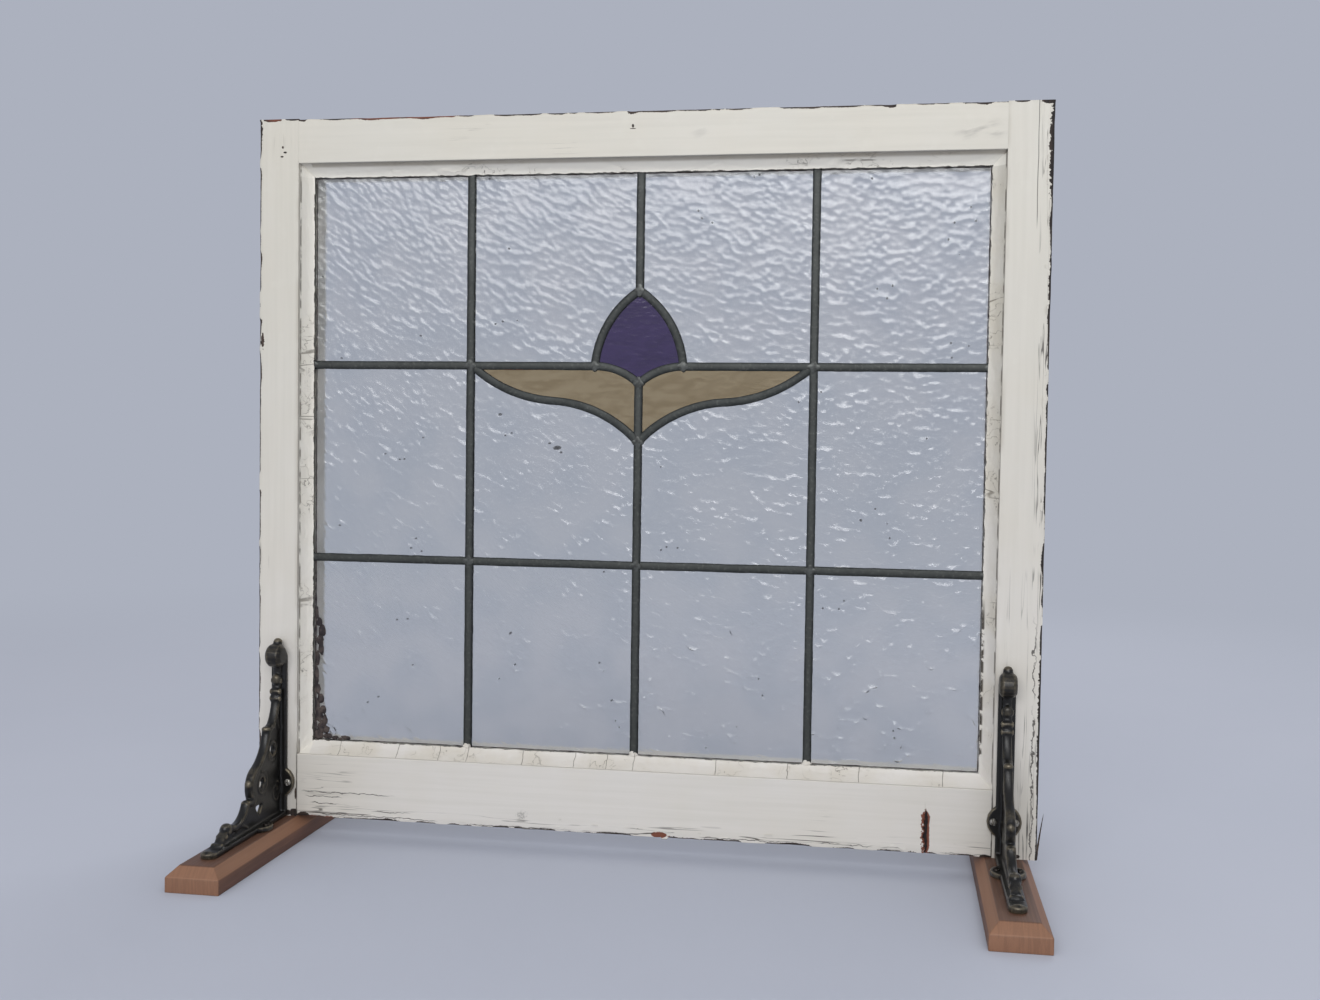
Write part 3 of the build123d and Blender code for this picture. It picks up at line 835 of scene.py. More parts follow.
def came_outline(crown):
    """Section of a came, across and forward, with rounded faces."""
    half, heart, groove, depth = CAME_HALF, 0.6 * MM, 1.65 * MM, 2.6 * MM
    front = []
    for k in range(9):
        angle = math.pi * k / 8
        front.append((half * math.cos(angle), depth - crown + crown * math.sin(angle)))
    left = [(-half, groove), (-heart, groove), (-heart, -groove), (-half, -groove)]
    both = front + left
    return both + [(-u, -v) for u, v in both]


def came_mesh(path, seed, sink=0.0):
    """Points and faces of a came along a path of the panel."""
    outline = came_outline(settings("lead").crown)
    points = []
    run = 0.0
    for k, (at, along) in enumerate(zip(path, directions(path))):
        across = Vector((along.y, -along.x))
        if k:
            run += (at - path[k - 1]).length
        wide = 1 + 0.05 * grain(run * 130, seed)
        drift = 0.16 * MM * grain(run * 45, seed + 3)
        dent = 0.1 * MM * grain(run * 220, seed + 6)
        for u, v in outline:
            spot = at + across * (u * wide + drift)
            lift = abs(v) - sink - (max(0.0, dent) if abs(v) > 2.0 * MM else 0.0)
            points.append(Vector((spot.x, LEAD_MIDDLE - math.copysign(lift, v), spot.y)))
    return points, ring_faces(len(path), len(outline))


def straight(x0, z0, x1, z1):
    """Path in short steps between two points of the panel."""
    start, end = Vector((x0, z0)), Vector((x1, z1))
    count = max(2, round((end - start).length / (2.2 * MM)))
    return [start.lerp(end, k / count) for k in range(count + 1)]


def flipped(path):
    """The same path on the other side of the middle."""
    return [Vector((-at.x, at.y)) for at in path]


def tulip_base_path():
    """From the left upright to the middle, under the tulip."""
    foot = Vector((-PETAL_FOOT, UPPER_BAR))
    level = straight(-UPRIGHT_X + CAME_HALF, UPPER_BAR, foot.x, foot.y)
    return level + leaving(foot, Vector((0, TULIP_BASE)), Vector((1, 0)), 18)[1:]


def petal_path():
    """Left petal."""
    return bowed(Vector((-PETAL_FOOT, UPPER_BAR)), Vector((0, TULIP_TOP)), 7.8 * MM, 34)


def leaf_path():
    """Left leaf, from the crossing to the stem."""
    slope = math.radians(3)
    middle = Vector((-UPRIGHT_X / 2, LEAF_MIDDLE))
    outward = Vector((-math.cos(slope), math.sin(slope)))
    tip = Vector((-UPRIGHT_X + CAME_HALF, UPPER_BAR - CAME_HALF / 2))
    outer = leaving(middle, tip, outward, 34)
    inner = leaving(middle, Vector((0, LEAF_JOINT)), -outward, 34)
    return list(reversed(outer)) + inner[1:]


def lead_paths():
    """Paths of the cames of each solid, and how far its face is sunk, in mm."""
    edge_low, edge_high = BORDER_LOW + CAME_HALF, BORDER_HIGH - CAME_HALF
    reach = BORDER_X - CAME_HALF
    side = straight(-BORDER_X, BORDER_LOW - CAME_HALF, -BORDER_X, BORDER_HIGH + CAME_HALF)
    paths = {
        "left_border_came": ([side], 0.0),
        "left_upright_came": ([straight(-UPRIGHT_X, edge_low, -UPRIGHT_X, edge_high)], 0.0),
        "left_tulip_base_came": ([tulip_base_path()], 0.05),
        "left_petal_came": ([petal_path()], 0.12),
        "left_leaf_came": ([leaf_path()], 0.12),
    }
    for name in list(paths):
        lines, sink = paths[name]
        paths[name.replace("left", "right")] = ([flipped(line) for line in lines], sink)
    paths["top_border_came"] = ([straight(-reach, BORDER_HIGH, reach, BORDER_HIGH)], 0.05)
    paths["bottom_border_came"] = ([straight(-reach, BORDER_LOW, reach, BORDER_LOW)], 0.05)
    paths["top_centre_came"] = ([straight(0, TULIP_TOP, 0, edge_high)], 0.0)
    paths["stem_came"] = ([straight(0, edge_low, 0, TULIP_BASE)], 0.0)
    outer = straight(-reach, UPPER_BAR, -UPRIGHT_X - CAME_HALF, UPPER_BAR)
    paths["upper_outer_cames"] = ([outer, flipped(outer)], 0.05)
    first = straight(-reach, LOWER_BAR, -UPRIGHT_X - CAME_HALF, LOWER_BAR)
    second = straight(-UPRIGHT_X + CAME_HALF, LOWER_BAR, -CAME_HALF, LOWER_BAR)
    lower = [first, second, flipped(second), flipped(first)]
    paths["lower_level_cames"] = (lower, 0.05)
    return paths


def build_lead(material):
    """All the cames."""
    for seed, (name, (lines, sink)) in enumerate(lead_paths().items()):
        parts = [
            came_mesh(line, seed * 5.3 + 1.9 * k, sink * MM) for k, line in enumerate(lines)
        ]
        piece(name, joined(parts), material, 50.0, (name,))


def joint_places():
    """Where the cames are soldered: place, arms across and arms up."""
    places = []
    for x in (-UPRIGHT_X, 0.0, UPRIGHT_X):
        places.append((x, LOWER_BAR, 1.0, 1.0))
        places.append((x, BORDER_LOW + 1.2 * CAME_HALF, 0.3, 1.0))
        places.append((x, BORDER_HIGH - 1.2 * CAME_HALF, 0.3, 1.0))
    for side in (-1, 1):
        places.append((side * UPRIGHT_X, UPPER_BAR, 1.0, 1.0))
        places.append((side * PETAL_FOOT, UPPER_BAR, 1.0, 0.6))
        for height in (LOWER_BAR, UPPER_BAR):
            places.append((side * (BORDER_X - 1.2 * CAME_HALF), height, 1.0, 0.3))
    places.append((0.0, TULIP_TOP, 0.5, 1.0))
    places.append((0.0, TULIP_BASE, 0.7, 1.0))
    places.append((0.0, LEAF_JOINT, 0.7, 1.0))
    return places


def joint_mesh(x, z, across, up, facing, seed):
    """A solder joint: a low dome with arms that run out onto the cames."""
    radius = settings("lead").joint
    crown = LEAD_FRONT if facing < 0 else LEAD_BACK
    glass = LEAD_MIDDLE + facing * 1.5 * MM
    spokes, rings = 28, (0.25, 0.5, 0.72, 0.88, 1.0)
    points = [Vector((x, crown + facing * JOINT_RISE, z))]
    for share in rings:
        rise = JOINT_RISE * (1 - share**2) + 0.04 * MM
        depth = glass if share == rings[-1] else crown + facing * rise
        for angle in angles(spokes):
            c, s = math.cos(angle), math.sin(angle)
            arm = across * abs(c) ** 6 + up * abs(s) ** 6
            reach = radius * (0.74 + 0.62 * arm + 0.12 * grain(c * 1.4, s * 1.4, seed))
            points.append(Vector((x + reach * share * c, depth, z + reach * share * s)))
    *sides, _, base = [tuple(1 + k for k in face) for face in ring_faces(len(rings), spokes)]
    crown_faces = [(0, 1 + k, 1 + (k + 1) % spokes) for k in range(spokes)]
    return points, crown_faces + sides + [base]


def build_solder(material):
    """Solder joints on both faces of the panel."""
    parts = [
        joint_mesh(*place, facing, seed * 2.3 + facing)
        for seed, place in enumerate(joint_places()) for facing in (-1, 1)
    ]
    piece("solder_joints", joined(parts), material, 50.0)


# Stand


def build_feet(material):
    """Both wooden feet, with softened arrises."""
    for name in ("left_foot", "right_foot"):
        work = bmesh.new()
        work.from_mesh(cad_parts[name].data)
        bmesh.ops.remove_doubles(work, verts=work.verts, dist=1e-6)
        bmesh.ops.dissolve_limit(
            work, angle_limit=math.radians(2), verts=work.verts, edges=work.edges
        )
        bmesh.ops.bevel(
            work, geom=list(work.edges), offset=0.7 * MM, segments=3, profile=0.6,
            affect="EDGES",
        )
        bmesh.ops.recalc_face_normals(work, faces=work.faces)
        mesh = bpy.data.meshes.new(name + "_worn")
        work.to_mesh(mesh)
        work.free()
        finished(name + "_worn", mesh, material, 30.0, (name,))


def brace_curve():
    """Side view of the rim: forward from the sash and up from the foot, in mm."""
    v = Vector
    return [
        bowed(v((9.5, 125)), v((9.6, 100)), -3.9, 10),
        bowed(v((9.6, 100)), v((17.8, 75.5)), -2.6, 10),
        [v((17.8, 75.5)), v((22, 74.0)), v((26.0, 72.5))],
        bowed(v((26.0, 72.5)), v((46.0, 47.0)), -4.2, 12),
        bowed(v((46.0, 47.0)), v((50.8, 24.0)), 6.4, 14),
        [v((50.8, 24.0)), v((55, 24.4)), v((60.5, 25.0))],
        bowed(v((60.5, 25.0)), v((81.0, 12.6)), -4.1, 10),
        bowed(v((81.0, 12.6)), v((102.5, 6.0)), 3.9, 10),
    ]


def spiral(forward, up, radius, turns, start, shrink, count):
    """Points of a scroll that winds inward, in mm."""
    points = []
    for k in range(count + 1):
        t = k / count
        angle = math.radians(start) + 2 * math.pi * turns * t
        r = radius * (1 - shrink * t)
        points.append(Vector((forward + r * math.cos(angle), up + r * math.sin(angle))))
    return points


def rod(path, wide, high, at=0.0):
    """A rounded bar along a side-view path, in mm: wide across, high outward."""
    points = []
    sides = 12
    for here, along in zip(path, directions(path)):
        out = Vector((-along.y, along.x))
        for angle in angles(sides):
            spot = here + out * (high * math.sin(angle))
            points.append(Vector((spot.x, spot.y, at + wide * math.cos(angle))))
    return points, ring_faces(len(path), sides)


def boss(forward, up, radius, squash):
    """A round boss of the casting, in mm."""
    middle = Vector((forward, up, 0))
    return ball(3, radius, lambda co: middle + co * Vector(squash))


def casting_parts():
    """Rounded rim, scrolls, beads and bosses of a bracket, in mm."""
    parts = [rod(line, 3.5, 1.9) for line in brace_curve()]
    for side in (-1, 1):
        web = side * 1.6
        parts += [
            rod(spiral(36.0, 34.0, 9.5, 1.25, 80, 0.5, 40), 0.9, 1.3, web),
            rod(spiral(18.0, 56.0, 8.6, 1.25, 250, 0.5, 40), 0.9, 1.2, web),
            rod(spiral(12.0, 22.0, 8.0, 1.2, 100, 0.6, 36), 0.9, 1.2, web),
            rod(spiral(9.2, 128.2, 6.4, 1.15, -60, 0.62, 32), 1.0, 1.2, side * 5.2),
            rod(bowed(Vector((5, 70)), Vector((10, 98)), -2.0, 12), 0.8, 1.1, web),
            rod(bowed(Vector((60, 6)), Vector((84, 7)), 3.5, 12), 0.8, 1.0, web),
        ]
    bosses = [
        (9.4, 128.2, 8.6, (0.95, 0.95, 0.62)), (5.4, 138.0, 3.6, (1.0, 1.0, 1.0)),
        (7.4, 109.0, 4.2, (0.85, 1.15, 0.95)), (54.0, 37.0, 3.6, (1.0, 1.2, 1.0)),
        (91.0, 15.0, 3.6, (1.2, 0.8, 1.1)), (26.0, 73.5, 3.0, (1.0, 0.8, 1.2)),
    ]
    beads = ((9.6, 100.2), (9.9, 94.6), (97.5, 9.6), (105.0, 5.0), (118.5, 3.4))
    bosses += [(forward, up, 2.5, (1.0, 0.9, 1.95)) for forward, up in beads]
    return parts + [boss(*place) for place in bosses]


def casting_mesh():
    """The left front bracket as one rounded casting."""
    points, faces = joined(casting_parts())
    placed = [
        Vector((LEFT_FOOT_X + p.z * MM, SASH_FRONT - p.x * MM, FOOT_TOP + p.y * MM))
        for p in points
    ]
    mesh = bpy.data.meshes.new("casting")
    mesh.from_pydata(placed, [], faces)
    work = bmesh.new()
    work.from_mesh(mesh)
    work.from_mesh(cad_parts["left_front_bracket"].data)
    bmesh.ops.remove_doubles(work, verts=work.verts, dist=1e-7)
    work.to_mesh(mesh)
    work.free()
    rough = bpy.data.objects.new("casting", mesh)
    bpy.context.scene.collection.objects.link(rough)
    fuse = rough.modifiers.new("fuse", "REMESH")
    fuse.mode = "VOXEL"
    fuse.voxel_size = settings("stand").cast_grain
    soften = rough.modifiers.new("soften", "SMOOTH")
    soften.factor = 0.5
    soften.iterations = 3
    rough.modifiers.new("thin", "DECIMATE").ratio = 0.4
    fused = rough.evaluated_get(bpy.context.evaluated_depsgraph_get())
    cast = bpy.data.meshes.new_from_object(fused)
    bpy.data.objects.remove(rough)
    store(cast, "proud", proud_places(cast))
    low_y, high_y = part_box("left_front_bracket")[0].y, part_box("left_front_bracket")[1].y
    for vertex in cast.vertices:
        vertex.co.y = min(high_y, max(low_y, vertex.co.y))
        vertex.co.z = max(FOOT_TOP, vertex.co.z)
    return cast


def proud_places(mesh):
    """How far each point stands out from those round it, from 0 to 1."""
    work = bmesh.new()
    work.from_mesh(mesh)
    rise = []
    for vertex in work.verts:
        near = [edge.other_vert(vertex).co for edge in vertex.link_edges]
        middle = sum(near, Vector()) / len(near)
        reach = sum((spot - vertex.co).length for spot in near) / len(near)
        rise.append((vertex.co - middle).dot(vertex.normal) / max(reach, 1e-7))
    for _ in range(2):
        rise = [
            (rise[v.index] + sum(rise[e.other_vert(v).index] for e in v.link_edges))
            / (1 + len(v.link_edges))
            for v in work.verts
        ]
    work.free()
    return [min(1.0, max(0.0, height * 4.0)) for height in rise]


def build_brackets(material):
    """The four brackets."""
    cast = casting_mesh()
    shift = RIGHT_FOOT_X - LEFT_FOOT_X
    for name, move, rear in (
        ("left_front_bracket", 0.0, False),
        ("right_front_bracket", shift, False),
        ("left_rear_bracket", 0.0, True),
        ("right_rear_bracket", shift, True),
    ):
        mesh = cast.copy()
        if rear:
            mesh.transform(Matrix.Scale(-1, 4, Vector((0, 1, 0))))
            mesh.flip_normals()
        mesh.transform(Matrix.Translation((move, 0, 0)))
        finished(name + "_cast", mesh, material, 180.0, (name,))


def screw_head(place, outward, turn):
    """A domed screw head with its slot, standing on a face."""
    sides, radius, points = 24, 2.7 * MM, []
    profile = [(1.0, 0.0), (0.97, 0.22), (0.82, 0.4), (0.55, 0.52), (0.28, 0.58)]
    reference = Vector((0, 0, 1)) if abs(outward.z) < 0.5 else Vector((0, 1, 0))
    across = outward.cross(reference).normalized()
    up = across.cross(outward)
    for share, rise in profile:
        for angle in angles(sides):
            flat = across * math.cos(angle + turn) + up * math.sin(angle + turn)
            slot = abs(math.sin(angle)) * share < 0.2 and share < 0.99
            lift = rise - (0.32 if slot else 0.0)
            points.append(place + flat * (radius * share) + outward * (radius * max(0.05, lift)))
    return points, ring_faces(len(profile), sides)


def build_screws(bright, dark):
    """Screws through the lugs of the brackets."""
    wall, ground = [], []
    for index, x in enumerate((LEFT_FOOT_X, RIGHT_FOOT_X)):
        for facing, face in ((-1, SASH_FRONT), (1, SASH_BACK)):
            for side in (-1, 1):
                turn = 0.7 * index + 1.9 * side + 0.4 * facing
                depth, height = face + facing * LUG_PLATE, FOOT_TOP + 27.5 * MM
                spot = Vector((x + side * 7.8 * MM, depth, height))
                wall.append(screw_head(spot, Vector((0, facing, 0)), turn))
                depth, height = face + facing * 42 * MM, FOOT_TOP + LUG_PLATE
                spot = Vector((x + side * 8.0 * MM, depth, height))
                ground.append(screw_head(spot, Vector((0, 0, 1)), turn + 1))
    piece("sash_screws", joined(wall), bright, 40.0)
    piece("foot_screws", joined(ground), dark, 40.0)


# Loose paint and the splinter


def flake(place, along, up, length, height, curl, seed):
    """A curling flake of paint that still hangs on by one edge."""
    points, faces = [], []
    rows, columns = 4, 5
    size = rows * columns
    for back in (0, 1):
        for k in range(size):
            t, s = k // columns / (rows - 1), k % columns / (columns - 1)
            rag = 0.25 * grain(s * 3.1, t * 2.3, seed)
            shift = (s - 0.5) * length * (1 - 0.4 * t) + rag * length * 0.4
            spot = place + along * shift + up * (height * (t + 0.3 * rag * t))
            out = 0.05 * MM + curl * t * t - FLAKE_THICK * back
            points.append(spot + Vector((0, -1, 0)) * out)
    for layer in (0, 1):
        for r in range(rows - 1):
            for c in range(columns - 1):
                a = layer * size + r * columns + c
                quad = (a, a + 1, a + 1 + columns, a + columns)
                faces.append(quad if layer else tuple(reversed(quad)))
    rim = list(range(columns))
    rim += [r * columns + columns - 1 for r in range(1, rows)]
    rim += [(rows - 1) * columns + c for c in range(columns - 2, -1, -1)]
    rim += [r * columns for r in range(rows - 2, 0, -1)]
    for a, b in zip(rim, rim[1:] + rim[:1]):
        faces.append((a, b, b + size, a + size))
    return points, faces


def build_flakes(material):
    """Loose flakes along the worn edges of the front."""
    rng = random.Random(7)
    right, up = Vector((1, 0, 0)), Vector((0, 0, 1))
    parts = []

    def hang(x, z, along, across, longest, highest, seed):
        length, height = rng.uniform(*longest) * MM, rng.uniform(0.8, highest) * MM
        lean, curl = across * rng.choice((-1, 1)), rng.uniform(0.1, 0.5) * MM
        parts.append(flake(Vector((x, SASH_FRONT, z)), along, lean, length, height, curl, seed))

    for k in range(24):
        x = rng.uniform(-0.262, 0.262)
        hang(x, SASH_LOW.z + rng.uniform(0.8, 8.5) * MM, right, up, (2.5, 9.0), 2.0, k * 1.3)
    for k in range(16):
        z = rng.uniform(0.03, 0.55)
        hang(0.3 - rng.uniform(1.6, 4.0) * MM, z, up, right, (3.0, 11.0), 1.8, 90 + k * 1.1)
    piece("loose_flakes", joined(parts), material, 30.0)


def build_splinter(material):
    """The sliver torn from the right stile."""
    low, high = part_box("splinter")
    middle, half = (low.y + high.y) / 2, (high.y - low.y) / 2
    points = []
    rings, sides = 25, 8
    for k in range(rings):
        t = k / (rings - 1)
        z = low.z + (high.z - low.z) * t
        x = low.x + (high.x - low.x) * t**1.25 - 0.5 * MM * (1 - t)
        wide = (1.5 * (1 - t) ** 0.8 + 0.25) * MM * (1 + 0.3 * grain(t * 14, 2.0))
        wide = min(wide, high.x - x) if t > 0.6 else wide
        for angle in angles(sides):
            across, deep = 0.5 * wide * math.cos(angle), half * 0.7 * math.sin(angle)
            points.append(Vector((x + across, middle + deep, z)))
    shape = points, ring_faces(rings, sides)
    piece("torn_splinter", shape, material, 40.0, ("splinter",))


# Finishes


def painted_timber(name, upright):
    """Cream paint over wood, worn at the arrises and cracked along the grain."""
    sash = settings("sash")
    f = Finish(name)
    lengthwise = f.stretched(260, 260, 9) if upright else f.stretched(9, 260, 260)
    brush = f.cloud(1.0, 2.0, lengthwise)
    broad, fine = f.cloud(11.0), f.cloud(900.0, 1.0)
    mottle, patch = f.cloud(70.0), f.cloud(24.0, 2.0)
    worn = f.stored("worn")
    front = f.y.fade(SASH_FRONT + 2.2 * MM, SASH_FRONT + 2.6 * MM)

    # Bare wood at the arrises and in spots
    bare = (worn * 1.5 + (mottle - 0.5) * 0.9 + (fine - 0.5) * 0.5).ease(0.42, 0.52)
    bare = bare.most((stile_spots(f) if upright else rail_spots(f)) * front)

    # Hair cracks near the floor and at the right edge, and the open joints
    low_zone = f.z.fade(SASH_LOW.z + 4 * MM, SASH_LOW.z + 13 * MM)
    if upright:
        near_foot = f.x.ease(0.27, 0.28) * f.z.fade(0.15, 0.26) * 0.7
        zone = (f.x.ease(0.2885, 0.2955).most(near_foot) + low_zone * 0.6).least(1.0)
        zone = zone * patch.ease(0.38, 0.56)
    else:
        zone = low_zone * patch.ease(0.36, 0.55)
    zone = (zone + 0.5 * broad.ease(0.62, 0.72)).least(1.0)
    crack_lines = abs(f.cloud(0.55, 3.0, f.nudged(lengthwise, 0.8, 1.5)) - 0.5)
    seam = abs(abs(f.x) - REBATE_X) + f.rag(WIDE_RAG) * 1.4 * MM
    seam = seam.fade(0.3 * MM, 0.75 * MM) * f.z.fade(0.055, 0.085) * front
    lines = (crack_lines.fade(0.006, 0.016) * zone).most(seam)
    lines = lines.most((stile_cracks(f, patch) if upright else rail_cracks(f, patch)) * front)

    stain = stile_grime(f, patch) if upright else rail_smudges(f, fine)
    paint = f.layered(
        sash.paint,
        # Whiter towards the bottom: partly a more neutral paint, partly painted light against the
        # darker lower sash
        (f.z.fade(0.02, 0.5) * 0.75, WHITER_PAINT_AND_LIGHT),
        (broad.ease(0.35, 0.7) * 0.25, shade(212, 204, 184)),
        (brush.ease(0.3, 0.75) * 0.2, shade(196, 193, 180)),
        (mottle.ease(0.55, 0.8) * 0.2, shade(224, 221, 209)),
        (stain, sash.grime if upright else shade(112, 108, 104)),
    )
    fibre = f.cloud(1.0, 3.0, f.stretched(800, 800, 30) if upright else f.stretched(30, 800, 800))
    torn = f.x.fade(-0.15, -0.13) * f.z.ease(SASH_HIGH.z - 3 * MM, SASH_HIGH.z - 1 * MM)
    torn = torn * patch.ease(0.45, 0.55)
    if not upright:
        torn = torn.most(f.marks((220.3, 34.5, 4, 24), (22.5, 20.3, 9, 4), (-247, 17.5, 12, 4)))
    wood = f.layered(
        shade(34, 29, 27),
        (fibre.ease(0.35, 0.65), sash.wood),
        (f.x.ease(0.296, 0.2985) * 0.6, shade(30, 27, 26)),
        (torn.least(1.0), sash.fresh_wood),
    )
    colour = f.layered(paint, (bare, wood))
    if not upright:
        colour = f.layered(colour, (scorch_mark(f, 1.2) * front, shade(30, 20, 18)))
    colour = f.layered(colour, (lines * 0.85, shade(46, 40, 36)))
    height = brush * 0.06 * MM + mottle * 0.07 * MM - worn * fine * 0.3 * MM
    return f.surface(colour, 0.42 + (brush - 0.5) * 0.2 + bare * 0.38, height)


def stile_spots(f):
    """Bare places on the faces of the stiles."""
    return f.marks(
        (-280.6, 541.4, 0.9, 1.1), (-278.6, 537.4, 1.5, 0.8), (-281.2, 534.2, 1.4, 0.7),
        (-297, 392, 1.6, 5.5, 2.2), (-278, 20.5, 7.0, 2.6), (-299, 554, 1.8, 9.0, 2.2),
        (280, 20.0, 7.9, 2.4), (299.6, 530, 3.2, 36.0, 2.2), (299.5, 430, 1.6, 24.0, 2.2),
        (299.5, 120, 1.7, 60.0, 2.2), (-289, 562.6, 7.9, 1.7), (-272, 562.8, 6.5, 1.2),
        (297, 562.2, 7.0, 2.0), (277, 562.8, 6.0, 1.1), (-270, 20.5, 3.4, 3.6),
        (-268.5, 36, 0.8, 4.8),
    )


def stile_cracks(f, patch):
    """The long split high on the right stile, and the lifted paint at its foot."""
    split = abs(f.x - SPLIT_X + (patch - 0.5) * 2.4 * MM)
    split = split.fade(0.15 * MM, 0.4 * MM) * f.z.ease(0.470, 0.482)
    lifted = abs(f.x - LIFTED_X + f.swing(9, 2.5))
    lifted = lifted.fade(0.25 * MM, 0.6 * MM) * f.z.fade(0.17, 0.2) * patch.ease(0.36, 0.44)
    return split.most(lifted)


def rail_cracks(f, patch):
    """Long cracks in the paint of the bottom rail."""
    lines = []
    swing = f.swing(4.5, 0.9)
    for start, end, z in (
        (-265, -184, 38.2), (-262, -228, 34.6), (-258, -231, 29.4), (-207, -172, 25.2),
        (-262, -150, 21.0), (-128, -30, 19.6), (52, 118, 20.4), (140, 206, 21.2),
        (-262, -205, 18.4), (228, 264, 19.4),
    ):
        line = abs(f.z - z * MM + swing).fade(0.16 * MM, 0.42 * MM)
        length = f.x.ease(start * MM, (start + 7) * MM) * f.x.fade((end - 7) * MM, end * MM)
        lines.append(line * length)
    return reduce(Value.most, lines) * patch.ease(0.36, 0.48)


def rail_spots(f):
    """Bare places on the faces of the rails, the burnt split among them."""
    return scorch_mark(f, 2.7).most(f.marks(
        (22.5, 20.3, 6.5, 2.4), (-4.4, 551.6, 0.9, 1.4), (-4.4, 549.6, 2.6, 0.35),
        (-247, 17.5, 7.9, 1.8), (-262, 19.0, 5.5, 3.0), (263, 18.5, 4.0, 1.8),
    ))


def scorch_mark(f, half):
    """The burnt split in the bottom rail, of a half width in mm."""
    away = abs(f.x - SCORCH_X + f.swing(3.0, 3.6)) / (half * MM)
    length = f.z.ease(0.014, 0.022) * f.z.fade(0.045, 0.0535)
    return (length * (1.1 + f.rag(FINE_RAG) * 1.8) - away).ease(0.0, 0.25)


def rail_smudges(f, fine):
    """Scuffs on the rails, as a share of grey."""
    scuff = f.mark(-84.8, 28.5, 5.2, 5.0, 2.0, 0.8) * 0.55
    streak = f.cloud(1.0, 3.0, f.stretched(36, 36, 170, 14)).ease(0.4, 0.66)
    drawn = f.mark(249, 543, 24.0, 11.0, 0.8, 1.2) * 0.75
    drawn = drawn.most(f.mark(45, 545, 9.0, 6.0, 0.8, 1.0) * 0.2)
    return (scuff * fine.ease(0.3, 0.6)).most(drawn * streak)


def stile_grime(f, patch):
    """Dirt along the inner corner of the stiles, as a share of grime."""
    corner = (abs(f.x) - REBATE_X).fade(-0.2 * MM, 3.5 * MM)
    return corner * patch.ease(0.4, 0.62) * 0.3


def painted_putty():
    """The same paint on putty: thicker, creased, cracked across, with painted shade and painted
    highlights.
    """
    f = Finish("painted_putty")
    broad, lumps, fine = f.cloud(26.0, 4.0), f.cloud(190.0, 4.0), f.cloud(1100.0, 2.0)
    level = f.z.ease(SIGHT_LOW + 2 * MM, SIGHT_LOW + 6 * MM)

    # Cracks across the bottom strip, along the upright ones, and where putty meets sash
    wobble = f.swing(3.0, 0.8)
    cracks = [
        abs(f.x - x * MM + wobble).fade(0.08 * MM, 0.3 * MM)
        for x in (-235, -187, -153, -130, -86, -45, -20, 1, 64, 118, 171, 232)
    ]
    side_crack = abs(f.cloud(1.0, 2.0, f.stretched(6, 1, 40)) - 0.5)
    side_crack = side_crack.fade(0.002, 0.008) * level * broad.ease(0.55, 0.62)
    creases = abs(f.cloud(75.0, 3.0, f.nudged(f.here, 60.0, 0.02)) - 0.5)
    joint = abs(abs(f.x) - REBATE_X + 0.5 * MM).fade(0.15 * MM, 0.5 * MM)
    line = (creases.fade(0.002, 0.007) * broad.ease(0.5, 0.62) * 0.8).most(side_crack * 0.8)
    line = line.most(reduce(Value.most, cracks) * (1 - level))
    line = line.most(joint * f.cloud(60.0).ease(0.42, 0.54))

    # Chips along the toe, and the strip at the right that has gone
    toe = f.stored("toe").ease(0.84, 1.0)
    missing = f.x.ease(0.2565, 0.2575) * f.x.fade(0.2590, 0.2604) * lumps.ease(0.4, 0.5)
    missing = missing * f.z.fade(0.19, 0.21) * f.z.ease(0.087, 0.092)
    chipped = (lumps * 0.7 + toe * 0.5 + fine * 0.25).ease(0.96, 1.02).most(missing)

    # Painted shadow under the top rebate's wall, and a painted highlight along the top putty's toe
    # and over the left strip
    painted_shade = f.z.ease(REBATE_HIGH - 3.5 * MM, REBATE_HIGH - 1.5 * MM)
    painted_highlight = f.z.ease(SIGHT_HIGH - 1 * MM, SIGHT_HIGH) * (1 - painted_shade)
    painted_highlight = painted_highlight.most(f.x.fade(-SIGHT_X - 1 * MM, -SIGHT_X) * 0.7)
    colour = f.layered(
        settings("sash").paint,
        # Whiter towards the bottom: partly a more neutral paint, partly painted light against the
        # darker lower sash
        (f.z.fade(0.02, 0.5) * 0.75, WHITER_PAINT_AND_LIGHT),
        (broad.ease(0.35, 0.7) * 0.4, shade(198, 188, 164)),
        (lumps.ease(0.5, 0.8) * 0.3, shade(220, 216, 204)),
        # Painted shadow, then painted highlight
        (painted_shade * 0.5, shade(150, 136, 116)),
        (painted_highlight * 0.8, shade(240, 236, 224)),
        (line * 0.8, shade(92, 84, 72)),
        (chipped, shade(74, 68, 60)),
    )
    height = lumps * 0.18 * MM + fine * 0.02 * MM - line * 0.25 * MM - chipped * 0.2 * MM
    return f.surface(colour, 0.48 + (lumps - 0.5) * 0.25 + chipped * 0.3, height)


def old_cement():
    """Dark, crumbly glazing cement."""
    f = Finish("old_cement")
    grit = f.cloud(900.0, 4.0)
    colour = f.layered(
        shade(44, 38, 40),
        (f.cloud(160.0).ease(0.4, 0.65), shade(84, 74, 70)),
        (grit.ease(0.62, 0.72) * 0.5, shade(132, 122, 110)),
    )
    return f.surface(colour, 0.8 + grit * 0.15, grit * 0.25 * MM)


